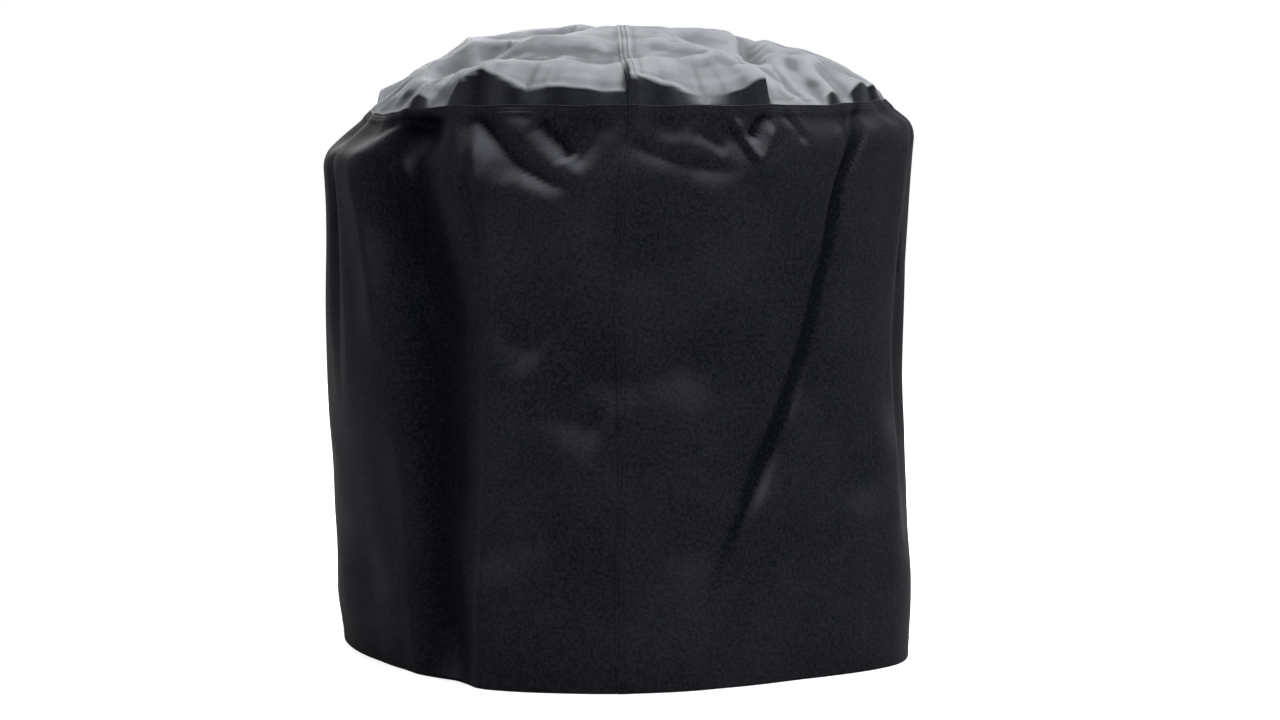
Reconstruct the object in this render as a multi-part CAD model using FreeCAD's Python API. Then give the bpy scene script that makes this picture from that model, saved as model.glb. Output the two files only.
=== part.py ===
"""Round cover for a kettle grill: a domed crown, a long skirt and an elastic hem.

The cover is sewn from four cloth panels.  The crown is two half rounds, joined by a seam that
runs over the top from front to back.  The skirt is two half cylinders, joined at the front and
at the back.  Every seam is lapped: one edge is turned under, lies over the next panel's edge
and is held by two rows of lockstitch.  Each row is a needle thread on the outside and a bobbin
thread on the inside.  The hem is turned up inside and holds a loop of elastic cord.

Units are millimetres.  +Z is up, the front seam faces -Y, and the origin is on the ground
under the middle of the crown.
"""
import FreeCAD, Part

import math
import os
from collections import namedtuple

Vector = FreeCAD.Vector

# ---- overall size -------------------------------------------------------------------------
OVERALL_HEIGHT = 740.0
SKIRT_RADIUS = 355.0

# ---- crown and shoulder -------------------------------------------------------------------
CROWN_FLAT_RADIUS = 86.0
CROWN_RISE = 90.0
RIM_INSET = 45.0
SHOULDER_RADIUS = 50.0

# ---- cloth and seams ----------------------------------------------------------------------
CLOTH = 0.6
LAYER_GAP = 0.1
TURN_UNDER = 10.0
SEAM_LAP = 12.0
SEAM_END_CLEARANCE = 1.0

# ---- thread: each row's distance from the seam's folded edge ------------------------------
THREAD_WIDTH = 0.8
THREAD_THICKNESS = 0.4
THREAD_CLEARANCE = 0.1
STITCH_ROWS = {"edge": 3.0, "inner": 8.0}

# ---- hem and its cord ---------------------------------------------------------------------
HEM_HEIGHT = 28.0
HEM_FLAT = 4.0
HEM_STITCH_BELOW_EDGE = 4.0
HEM_CLOSING_RISE = 14.0
CORD_RADIUS = 2.0
CORD_END_GAP = 1.0
FERRULE_CLEARANCE = 0.1
FERRULE_WALL = 0.5
FERRULE_LENGTH = 14.0
CHANNEL_CLEARANCE = 0.1

# ---- layers, worked out from the cloth ----------------------------------------------------
LAYER_PITCH = CLOTH + LAYER_GAP
FOLD_DEPTH = CLOTH + LAYER_PITCH
CROWN_DEPTH = 2 * LAYER_PITCH
SEAM_DEPTH = 2 * LAYER_PITCH + CLOTH

# ---- hem channel, worked out from the cord ------------------------------------------------
FERRULE_INNER_RADIUS = CORD_RADIUS + FERRULE_CLEARANCE
FERRULE_OUTER_RADIUS = FERRULE_INNER_RADIUS + FERRULE_WALL
HEM_BEND_RADIUS = FERRULE_OUTER_RADIUS + CHANNEL_CLEARANCE + CLOTH
HEM_WIDTH = 2 * HEM_BEND_RADIUS + HEM_FLAT
CORD_RING_RADIUS = SKIRT_RADIUS - HEM_WIDTH / 2

# ---- outer face of the crown and shoulder, worked out from the overall size ---------------
RIM_SEAM_RADIUS = SKIRT_RADIUS - RIM_INSET
RIM_REACH = RIM_SEAM_RADIUS - CROWN_FLAT_RADIUS
DOME_RADIUS = (RIM_REACH**2 + CROWN_RISE**2) / (2 * CROWN_RISE)
DOME_CENTRE = Vector(CROWN_FLAT_RADIUS, 0, OVERALL_HEIGHT + CROWN_DEPTH - DOME_RADIUS)
RIM_ANGLE = math.asin(RIM_REACH / DOME_RADIUS)
SLOPE_ANGLE = RIM_ANGLE + (SEAM_LAP + SEAM_END_CLEARANCE) / DOME_RADIUS
FAR = 2 * (SKIRT_RADIUS + OVERALL_HEIGHT)

Arc = namedtuple("Arc", "radius angle")
Line = namedtuple("Line", "length")


def polar(radius, angle):
    """A point of the radial half plane, from an angle measured down from the vertical."""
    return Vector(radius * math.sin(angle), 0, radius * math.cos(angle))


def turned(vector, angle):
    """A vector of the radial half plane turned to the right by an angle."""
    cos, sin = math.cos(angle), math.sin(angle)
    return Vector(vector.x * cos + vector.z * sin, 0, vector.z * cos - vector.x * sin)


class Path:
    """A smooth path in the radial half plane, made of straight runs and tangent arcs.

    Cloth lies on the right-hand side of the path.  A positive arc angle turns right.
    """

    def __init__(self, start, heading, moves):
        self.start = start
        self.heading = heading
        self.moves = moves

    def beside(self, distance):
        """The parallel path at a distance to the right."""
        right = Vector(math.sin(self.heading), 0, -math.cos(self.heading))
        moves = [
            Arc(move.radius - math.copysign(distance, move.angle), move.angle)
            if isinstance(move, Arc)
            else move
            for move in self.moves
        ]
        return Path(self.start + right * distance, self.heading, moves)

    def edges(self):
        """The path's edges, from its start to its end."""
        point, heading, edges = self.start, self.heading, []
        for move in self.moves:
            forward = Vector(math.cos(heading), 0, math.sin(heading))
            if isinstance(move, Line):
                end = point + forward * move.length
                edges.append(Part.LineSegment(point, end).toShape())
            else:
                side = math.copysign(1, move.angle)
                to_centre = Vector(forward.z, 0, -forward.x) * side * move.radius
                centre = point + to_centre
                middle = centre - turned(to_centre, move.angle / 2)
                end = centre - turned(to_centre, move.angle)
                edges.append(Part.Arc(point, middle, end).toShape())
                heading -= move.angle
            point = end
        return edges


def band(path, thickness):
    """The face between a path and its parallel path, as cloth of that thickness."""
    near, far = path.edges(), path.beside(thickness).edges()
    start = Part.LineSegment(far[0].Vertexes[0].Point, near[0].Vertexes[0].Point).toShape()
    end = Part.LineSegment(near[-1].Vertexes[-1].Point, far[-1].Vertexes[-1].Point).toShape()
    return Part.Face(Part.Wire(Part.__sortEdges__([start, *near, end, *far])))


def spun(face):
    """A face of the radial half plane turned once round the cover's axis."""
    return face.revolve(Vector(0, 0, 0), Vector(0, 0, 1), 360)


def slab(low_x, high_x, side=0):
    """The space between two planes across X: all of it, or its front (-1) or back (1) half."""
    low_y = 0 if side > 0 else -FAR
    depth = 2 * FAR if side == 0 else FAR
    corner = Vector(low_x, low_y, -FAR)
    return Part.makeBox(high_x - low_x, depth, 3 * FAR, corner)


def joined(shapes):
    """Several touching shapes of one piece as one solid."""
    return shapes[0].fuse(shapes[1:]).removeSplitter()


# ---- the crown ----------------------------------------------------------------------------
def crown_layer(depth, thickness, past_rim=SEAM_LAP):
    """A layer of the crown at a depth under the cover's outer face, out past the rim's edge."""
    radius = DOME_RADIUS - depth
    sweep = RIM_ANGLE + past_rim / DOME_RADIUS
    start = Vector(0, 0, DOME_CENTRE.z + radius)
    return spun(band(Path(start, 0, [Line(CROWN_FLAT_RADIUS), Arc(radius, sweep)]), thickness))


def crown_layer_to_rim(depth, thickness):
    """A layer of the crown that stops just above the folded edge of the skirt."""
    return crown_layer(depth, thickness, -SEAM_END_CLEARANCE)


# ---- the skirt ----------------------------------------------------------------------------
def skirt_moves(depth, to_height):
    """The moves from the crown's hidden edge, over the shoulder and down the wall."""
    top = DOME_CENTRE + polar(DOME_RADIUS, SLOPE_ANGLE)
    bend_reach = SHOULDER_RADIUS * (1 - math.sin(SLOPE_ANGLE))
    bend_drop = SHOULDER_RADIUS * math.cos(SLOPE_ANGLE)
    slope = (SKIRT_RADIUS - bend_reach - top.x) / math.cos(SLOPE_ANGLE)
    wall_top = top.z - slope * math.sin(SLOPE_ANGLE) - bend_drop
    return [
        Line(slope),
        Arc(SHOULDER_RADIUS - depth, math.pi / 2 - SLOPE_ANGLE),
        Line(wall_top - to_height),
    ]


def skirt_layer(depth, thickness):
    """A layer of a skirt seam, from under the crown's edge down to the top of the hem."""
    start = DOME_CENTRE + polar(DOME_RADIUS - depth, SLOPE_ANGLE)
    moves = skirt_moves(depth, HEM_HEIGHT + SEAM_END_CLEARANCE)
    return spun(band(Path(start, -SLOPE_ANGLE, moves), thickness))


def hem_moves():
    """The moves under the cord and up the inside, back against the wall, to the hem's edge."""
    shift = HEM_WIDTH - FOLD_DEPTH
    radius = (shift**2 + HEM_CLOSING_RISE**2) / (4 * shift)
    angle = 2 * math.atan2(shift, HEM_CLOSING_RISE)
    return [
        Arc(HEM_BEND_RADIUS, math.pi / 2),
        Line(HEM_FLAT),
        Arc(HEM_BEND_RADIUS, math.pi / 2),
        Arc(radius, angle),
        Arc(radius, -angle),
        Line(HEM_HEIGHT - HEM_BEND_RADIUS - HEM_CLOSING_RISE),
    ]


def skirt_shell():
    """The whole round skirt: top edge turned under, shoulder, wall and hem."""
    inner_radius = DOME_RADIUS - FOLD_DEPTH
    turn_angle = TURN_UNDER / DOME_RADIUS
    start_angle = RIM_ANGLE + turn_angle
    start = DOME_CENTRE + polar(inner_radius, start_angle)
    moves = [
        Arc(inner_radius, -turn_angle),
        Arc(FOLD_DEPTH / 2, math.pi),
        Arc(DOME_RADIUS, SLOPE_ANGLE - RIM_ANGLE),
        *skirt_moves(0, HEM_BEND_RADIUS),
        *hem_moves(),
    ]
    return spun(band(Path(start, math.pi - start_angle, moves), CLOTH))


# ---- lapped seams between a left and a right panel ----------------------------------------
def upper_panel(shell, layer, depth, sides):
    """The right-hand panel, whose edge is turned under along the seams on the given sides."""
    pieces = [shell.common(slab(0, FAR))]
    for side in sides:
        pieces.append(layer(depth, FOLD_DEPTH).common(slab(0, CLOTH, side)))
        pieces.append(layer(depth + LAYER_PITCH, CLOTH).common(slab(0, TURN_UNDER, side)))
    return joined(pieces)


def lower_panel(shell, layer, depth, sides):
    """The left-hand panel, whose edge steps in and runs on under the right-hand panel."""
    pieces = [shell.common(slab(-FAR, -LAYER_GAP))]
    for side in sides:
        riser = layer(depth, SEAM_DEPTH).common(slab(-LAYER_PITCH, -LAYER_GAP, side))
        lap = layer(depth + 2 * LAYER_PITCH, CLOTH).common(slab(-LAYER_PITCH, SEAM_LAP, side))
        pieces += [riser, lap]
    return joined(pieces)


# ---- thread -------------------------------------------------------------------------------
def seam_thread(layer, depth, row, side):
    """One stitch row's thread along a seam between left and right panels."""
    half = THREAD_WIDTH / 2
    return layer(depth, THREAD_THICKNESS).common(slab(row - half, row + half, side))


def rim_ring(depth, thickness, row):
    """A ring along the rim seam, as wide as a thread, at a depth under the outer face."""
    angle = RIM_ANGLE + row / DOME_RADIUS
    start = DOME_CENTRE + polar(DOME_RADIUS - depth, angle)
    width = Arc(DOME_RADIUS - depth, THREAD_WIDTH / DOME_RADIUS)
    return spun(band(Path(start, -angle, [width]), thickness))


def rim_bobbin_thread(row):
    """One inner thread of the rim seam, which steps in to pass under the crown's own seam."""
    low, high = -LAYER_PITCH - THREAD_CLEARANCE, SEAM_LAP + THREAD_CLEARANCE
    outer = SEAM_DEPTH
    inner = CROWN_DEPTH + SEAM_DEPTH + THREAD_THICKNESS + THREAD_CLEARANCE
    step = rim_ring(outer, inner + THREAD_THICKNESS - outer, row)
    beside = rim_ring(outer, THREAD_THICKNESS, row)
    under = rim_ring(inner, THREAD_THICKNESS, row)
    return joined([
        beside.common(slab(-FAR, low)),
        beside.common(slab(high, FAR)),
        step.common(slab(low - THREAD_THICKNESS, low)),
        step.common(slab(high, high + THREAD_THICKNESS)),
        under.common(slab(low, high)),
    ])


def hem_thread(outer_radius):
    """A thread of the stitch row that closes the hem, laid inside a radius."""
    height = HEM_HEIGHT - HEM_STITCH_BELOW_EDGE + THREAD_WIDTH / 2
    start = Vector(outer_radius, 0, height)
    return spun(band(Path(start, -math.pi / 2, [Line(THREAD_WIDTH)]), THREAD_THICKNESS))


def threads():
    """Every thread of the cover, by name."""
    outside = -THREAD_THICKNESS
    made = {
        "hem_needle_thread": hem_thread(SKIRT_RADIUS + THREAD_THICKNESS),
        "hem_bobbin_thread": hem_thread(SKIRT_RADIUS - FOLD_DEPTH),
    }
    for row_name, row in STITCH_ROWS.items():
        made[f"crown_seam_{row_name}_needle_thread"] = seam_thread(
            crown_layer_to_rim, CROWN_DEPTH + outside, row, 0
        )
        made[f"crown_seam_{row_name}_bobbin_thread"] = seam_thread(
            crown_layer, CROWN_DEPTH + SEAM_DEPTH, row, 0
        )
        made[f"rim_seam_{row_name}_needle_thread"] = rim_ring(outside, THREAD_THICKNESS, row)
        made[f"rim_seam_{row_name}_bobbin_thread"] = rim_bobbin_thread(row)
        for name, side in (("front", -1), ("back", 1)):
            made[f"{name}_seam_{row_name}_needle_thread"] = seam_thread(
                skirt_layer, outside, row, side
            )
            made[f"{name}_seam_{row_name}_bobbin_thread"] = seam_thread(
                skirt_layer, SEAM_DEPTH, row, side
            )
    return made


# ---- the elastic cord in the hem ----------------------------------------------------------
def hem_cord():
    """The elastic cord: one round loop in the hem, open for a short way in its ferrule."""
    centre = Vector(CORD_RING_RADIUS, 0, HEM_BEND_RADIUS)
    circle = Part.Wire(Part.makeCircle(CORD_RADIUS, centre, Vector(0, 1, 0)))
    loop = spun(Part.Face(circle))
    return loop.cut(slab(-CORD_END_GAP / 2, CORD_END_GAP / 2, 1))


def hem_cord_ferrule():
    """The crimped sleeve at the back that joins the two ends of the cord."""
    start = Vector(-FERRULE_LENGTH / 2, CORD_RING_RADIUS, HEM_BEND_RADIUS)
    along = Vector(1, 0, 0)
    sleeve = Part.makeCylinder(FERRULE_OUTER_RADIUS, FERRULE_LENGTH, start, along)
    bore = Part.makeCylinder(FERRULE_INNER_RADIUS, FERRULE_LENGTH, start, along)
    return sleeve.cut(bore)


def pieces():
    """Every piece of the cover, by name."""
    crown = crown_layer(CROWN_DEPTH, CLOTH)
    skirt = skirt_shell()
    crown_sides, skirt_sides = (0,), (-1, 1)
    return {
        "crown_right_panel": upper_panel(crown, crown_layer, CROWN_DEPTH, crown_sides),
        "crown_left_panel": lower_panel(crown, crown_layer, CROWN_DEPTH, crown_sides),
        "skirt_right_panel": upper_panel(skirt, skirt_layer, 0, skirt_sides),
        "skirt_left_panel": lower_panel(skirt, skirt_layer, 0, skirt_sides),
        "hem_elastic_cord": hem_cord(),
        "hem_cord_ferrule": hem_cord_ferrule(),
        **threads(),
    }


def main():
    """Builds every piece and writes one STEP file for each."""
    os.makedirs("parts", exist_ok=True)
    for name, shape in pieces().items():
        if len(shape.Solids) != 1 or not shape.isValid():
            raise ValueError(f"{name} is not one valid solid")
        shape.Solids[0].exportStep(f"parts/{name}.step")
        print(f"{name}: {shape.Volume / 1000:.2f} cm3")


main()
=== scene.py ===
"""Render scene of the kettle grill cover.

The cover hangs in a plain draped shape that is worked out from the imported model's sizes.  A
cloth simulation crumples that shape a little, and the main folds are then pressed into it.
The four cloth panels, their lapped seams, the stitch rows and the elastic hem are modelled on
the surface that results.  Lengths are in metres, +Z is up and the front seam faces -Y.
Azimuths are measured from the front, and grow towards +X.
"""
import logging
import math
from collections.abc import Callable, Iterator
from contextlib import contextmanager
from dataclasses import dataclass, field
from enum import Enum

import bpy
import numpy as np
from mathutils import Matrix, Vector


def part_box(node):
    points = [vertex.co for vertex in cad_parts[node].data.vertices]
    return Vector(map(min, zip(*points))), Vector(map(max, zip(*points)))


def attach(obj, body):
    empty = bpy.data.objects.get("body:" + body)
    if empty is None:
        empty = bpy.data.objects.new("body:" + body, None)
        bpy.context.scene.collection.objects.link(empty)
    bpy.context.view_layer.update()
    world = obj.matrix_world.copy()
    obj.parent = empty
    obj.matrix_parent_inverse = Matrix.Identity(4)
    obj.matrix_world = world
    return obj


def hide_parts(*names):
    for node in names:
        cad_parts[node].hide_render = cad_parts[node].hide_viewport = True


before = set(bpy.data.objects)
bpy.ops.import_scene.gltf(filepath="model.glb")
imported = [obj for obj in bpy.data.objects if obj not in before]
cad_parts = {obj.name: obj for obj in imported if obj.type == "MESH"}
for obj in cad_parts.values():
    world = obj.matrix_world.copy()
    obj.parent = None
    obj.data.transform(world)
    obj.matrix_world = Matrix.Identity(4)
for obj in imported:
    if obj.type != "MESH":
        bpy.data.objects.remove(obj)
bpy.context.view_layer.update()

LOG = logging.getLogger("grill_cover")
TURN = 2.0 * math.pi
QUARTER = 0.5 * math.pi
ORIGIN = (0.0, 0.0, 0.0)


# ---- helpers ------------------------------------------------------------------------------
def deselect() -> None:
    """Leaves nothing selected."""
    bpy.ops.object.select_all(action="DESELECT")


def only(piece: bpy.types.Object) -> None:
    """Makes a piece the one selected and active object.

    Args:
        piece: the object.
    """
    deselect()
    piece.select_set(True)
    bpy.context.view_layer.objects.active = piece


def named(name: str) -> bpy.types.Object:
    """Names the active object and its mesh.

    Args:
        name: the new name.

    Returns:
        The active object.
    """
    piece = bpy.context.view_layer.objects.active
    piece.name = name
    piece.data.name = name
    return piece


def positions(piece: bpy.types.Object) -> np.ndarray:
    """Reads where a mesh's vertices are.

    Args:
        piece: the mesh object.

    Returns:
        One row for each vertex.
    """
    flat = np.empty(len(piece.data.vertices) * 3)
    piece.data.vertices.foreach_get("co", flat)
    return flat.reshape(-1, 3)


def move_vertices(piece: bpy.types.Object, points: np.ndarray) -> None:
    """Puts a mesh's vertices at the given points."""
    piece.data.vertices.foreach_set("co", np.ascontiguousarray(points).ravel())
    piece.data.update()


def apply_modifiers(piece: bpy.types.Object) -> None:
    """Applies a piece's modifiers in order.

    Args:
        piece: the mesh object.
    """
    only(piece)
    for modifier in list(piece.modifiers):
        bpy.ops.object.modifier_apply(modifier=modifier.name)


@contextmanager
def editing() -> Iterator[None]:
    """Edit mode, which is left again at the end."""
    bpy.ops.object.mode_set(mode="EDIT")
    yield
    bpy.ops.object.mode_set(mode="OBJECT")


def close_shell(piece: bpy.types.Object) -> None:
    """Applies a piece's modifiers, turns its faces outwards and shades it smooth.

    Args:
        piece: the mesh object.
    """
    apply_modifiers(piece)
    with editing():
        bpy.ops.mesh.select_all(action="SELECT")
        bpy.ops.mesh.normals_make_consistent(inside=False)
    bpy.ops.object.shade_smooth()


def smoothstep(low: float, high: float, value: np.ndarray) -> np.ndarray:
    """0 below low, 1 above high, and a smooth rise between them."""
    t = np.clip((value - low) / (high - low), 0.0, 1.0)
    return t * t * (3.0 - 2.0 * t)


def bump(value: np.ndarray, centre: float, reach: float) -> np.ndarray:
    """A soft hump, 1 at its centre and near 0 two reaches away."""
    return np.exp(-(((value - centre) / reach) ** 2))


def wrap(azimuth: np.ndarray) -> np.ndarray:
    """The same azimuths, from -pi to pi."""
    return (azimuth + math.pi) % TURN - math.pi


def round_point(radius: np.ndarray, azimuth: np.ndarray, height: np.ndarray) -> np.ndarray:
    """Points at a radius, azimuth and height."""
    return np.stack([radius * np.sin(azimuth), -radius * np.cos(azimuth), height], axis=-1)


def push_out(point: np.ndarray, azimuth: np.ndarray, distance: np.ndarray) -> None:
    """Moves points straight out from the cover's middle line."""
    point[..., 0] += distance * np.sin(azimuth)
    point[..., 1] -= distance * np.cos(azimuth)


def wavy(value: np.ndarray, pitch: float, seed: int) -> np.ndarray:
    """Smooth uneven waves along a line, from about -1 to 1.

    Args:
        value: places along the line, in metres.
        pitch: usual distance from crest to crest, in metres.
        seed: picks one pattern of waves.

    Returns:
        The height of the waves at each place.
    """
    rng = np.random.default_rng(seed)
    total = np.zeros_like(value, dtype=float)
    for _ in range(5):
        length = pitch * rng.uniform(0.6, 1.7)
        total += np.sin(TURN * (value / length + rng.random()))
    return total / 2.6


def cubic_weights(t: np.ndarray) -> list[np.ndarray]:
    """Works out Catmull-Rom weights.

    Args:
        t: places between two samples, from 0 to 1.

    Returns:
        The weights of the four samples round each place.
    """
    return [
        0.5 * (-t + 2.0 * t**2 - t**3),
        0.5 * (2.0 - 5.0 * t**2 + 3.0 * t**3),
        0.5 * (t + 4.0 * t**2 - 3.0 * t**3),
        0.5 * (-(t**2) + t**3),
    ]


def calmed(grid: np.ndarray, passes: int, closed: bool = False) -> np.ndarray:
    """Takes the finest ripples out of a grid of vectors, more of them with each pass.

    Args:
        grid: rows by columns by components.
        passes: how many times each vector is evened with its neighbours.
        closed: True where the last column is followed by the first.

    Returns:
        The calmer grid.
    """
    for _ in range(passes):
        wide = np.pad(grid, ((1, 1), (0, 0), (0, 0)), mode="edge")
        grid = 0.25 * (wide[:-2] + wide[2:]) + 0.5 * grid
        wide = np.pad(grid, ((0, 0), (1, 1), (0, 0)), mode="wrap" if closed else "edge")
        grid = 0.25 * (wide[:, :-2] + wide[:, 2:]) + 0.5 * grid
    return grid


def relief(values: np.ndarray, passes: int) -> np.ndarray:
    """How far each value of a grid stands over the calmed grid round it."""
    return values - calmed(values[..., None], passes)[..., 0]


def sample_grid(
    grid: np.ndarray, row: np.ndarray, column: np.ndarray, closed: bool = False
) -> np.ndarray:
    """Smoothly interpolates a grid of vectors.

    Args:
        grid: rows by columns by components.
        row: row coordinates, from 0 to the number of rows less one.
        column: column coordinates.
        closed: True where the last column is followed by the first.

    Returns:
        One vector for each coordinate pair.
    """
    rows, columns = grid.shape[:2]
    row = np.clip(row, 0.0, rows - 1.0)
    row_base = np.floor(row).astype(int)
    column_base = np.floor(column).astype(int)
    row_weights = cubic_weights(row - row_base)
    column_weights = cubic_weights(column - column_base)
    result = np.zeros(row.shape + grid.shape[2:])
    for i, row_weight in enumerate(row_weights):
        r = np.clip(row_base + i - 1, 0, rows - 1)
        for j, column_weight in enumerate(column_weights):
            c = column_base + j - 1
            c = c % columns if closed else np.clip(c, 0, columns - 1)
            result += (row_weight * column_weight)[..., None] * grid[r, c]
    return result


# ---- the shape that the cloth hangs in ----------------------------------------------------
@dataclass(frozen=True)
class Drape:
    """The plain shape of the hung cover, worked out from its overall size.

    Inset is how far the rim lies inside the skirt, slope is the shoulder's slope under the
    rim, and steep and sloped are the shares |sin(azimuth)| between which the front's shape
    gives way to the side's.
    """

    height: float
    skirt_radius: float
    side_inset: float = 0.044
    front_inset: float = 0.026
    lean: float = 0.012
    side_slope: float = math.radians(46.0)
    front_slope: float = math.radians(71.0)
    crown_flat: float = 0.090
    crown_rise: float = 0.088
    shoulder_radius: float = 0.040
    steep: float = 0.35
    sloped: float = 0.98

    def side(self, azimuth: np.ndarray) -> np.ndarray:
        """1 at the left and right sides, where the shoulder slopes, and 0 at front and back."""
        return smoothstep(self.steep, self.sloped, np.abs(np.sin(azimuth)))

    def inset(self, azimuth: np.ndarray) -> np.ndarray:
        """How far the rim lies inside the skirt: the crown leans to the right.

        Args:
            azimuth: azimuths, in radians.

        Returns:
            The distance at each azimuth.
        """
        side = self.side(azimuth)
        even = self.front_inset + (self.side_inset - self.front_inset) * side
        return even - self.lean * side * np.sign(np.sin(azimuth))

    def crown_profile(self, azimuth: np.ndarray, share: np.ndarray) -> tuple:
        """Radius and height on the crown.

        Args:
            azimuth: azimuths, in radians.
            share: share of the way from the middle of the crown to the rim.

        Returns:
            The radii and the heights.
        """
        reach = self.skirt_radius - self.inset(azimuth) - self.crown_flat
        dome = (reach**2 + self.crown_rise**2) / (2.0 * self.crown_rise)
        angle = np.arcsin(reach / dome)
        along = share * (self.crown_flat + dome * angle)
        turn = np.clip(along - self.crown_flat, 0.0, None) / dome
        radius = np.minimum(along, self.crown_flat) + dome * np.sin(turn)
        return radius, self.height - dome * (1.0 - np.cos(turn))

    def skirt_profile(self, azimuth: np.ndarray, share: np.ndarray) -> tuple:
        """Radius and height on the skirt.

        Args:
            azimuth: azimuths, in radians.
            share: share of the way from the rim down to the ground.

        Returns:
            The radii and the heights.
        """
        side = self.side(azimuth)
        inset = self.inset(azimuth)
        slope = self.front_slope + (self.side_slope - self.front_slope) * side
        bend = self.shoulder_radius
        straight = (inset - bend * (1.0 - np.sin(slope))) / np.cos(slope)
        arc = bend * (QUARTER - slope)
        rim_height = self.height - self.crown_rise
        wall = rim_height - straight * np.sin(slope) - bend * np.cos(slope)
        along = share * (straight + arc + wall)
        first = np.minimum(along, straight)
        turn = slope + np.clip(along - straight, 0.0, arc) / bend
        last = np.clip(along - straight - arc, 0.0, None)
        radius = self.skirt_radius - inset + first * np.cos(slope)
        radius = radius + bend * (np.sin(turn) - np.sin(slope))
        height = rim_height - first * np.sin(slope) - bend * (np.cos(slope) - np.cos(turn)) - last
        return radius, height

    def crown_point(self, azimuth: np.ndarray, share: np.ndarray) -> np.ndarray:
        """Points on the plain crown."""
        radius, height = self.crown_profile(azimuth, share)
        return round_point(radius, azimuth, height)

    def skirt_point(self, azimuth: np.ndarray, share: np.ndarray) -> np.ndarray:
        """Points on the plain skirt."""
        radius, height = self.skirt_profile(azimuth, share)
        return round_point(radius, azimuth, height)


def square_place(azimuth: np.ndarray, share: np.ndarray) -> tuple:
    """The place on a square of half side 1 that is stretched to a place on the round crown.

    Args:
        azimuth: azimuths on the crown.
        share: shares of the way to the rim.

    Returns:
        The places across and up the square.
    """
    x, y = np.sin(azimuth), -np.cos(azimuth)
    wide = np.abs(x) >= np.abs(y)
    s_wide = np.sign(x) * share
    t_wide = s_wide * 4.0 / math.pi * np.arctan(y / np.where(wide, x, 1.0))
    t_tall = np.sign(y) * share
    s_tall = t_tall * 4.0 / math.pi * np.arctan(x / np.where(wide, 1.0, y))
    return np.where(wide, s_wide, s_tall), np.where(wide, t_wide, t_tall)


def round_place(s: np.ndarray, t: np.ndarray) -> tuple:
    """The place on the round crown that a place on the square is stretched to.

    Args:
        s: places across the square.
        t: places up the square.

    Returns:
        The azimuths and the shares of the way to the rim.
    """
    wide = np.abs(s) >= np.abs(t)
    share = np.maximum(np.abs(s), np.abs(t))
    from_x = math.pi / 4.0 * t / np.where(s == 0.0, 1.0, s)
    from_y = math.pi / 4.0 * s / np.where(t == 0.0, 1.0, t)
    x = np.where(wide, np.sign(s) * np.cos(from_x), np.sign(t) * np.sin(from_y))
    y = np.where(wide, np.sign(s) * np.sin(from_x), np.sign(t) * np.cos(from_y))
    return np.arctan2(x, -y), share


# ---- crumpling by simulation --------------------------------------------------------------
CLOTH_SETTINGS = {
    "quality": 4,
    "mass": 0.2,
    "tension_stiffness": 30.0,
    "compression_stiffness": 30.0,
    "shear_stiffness": 12.0,
    "bending_stiffness": 40.0,
    "tension_damping": 8.0,
    "compression_damping": 8.0,
    "shear_damping": 8.0,
    "bending_damping": 0.6,
    "air_damping": 4.0,
    "vertex_group_mass": "held",
    "pin_stiffness": 1.0,
    "vertex_group_shrink": "taut",
    "shrink_max": 0.0,
}
LIGHT_GRAVITY = 0.1


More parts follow.
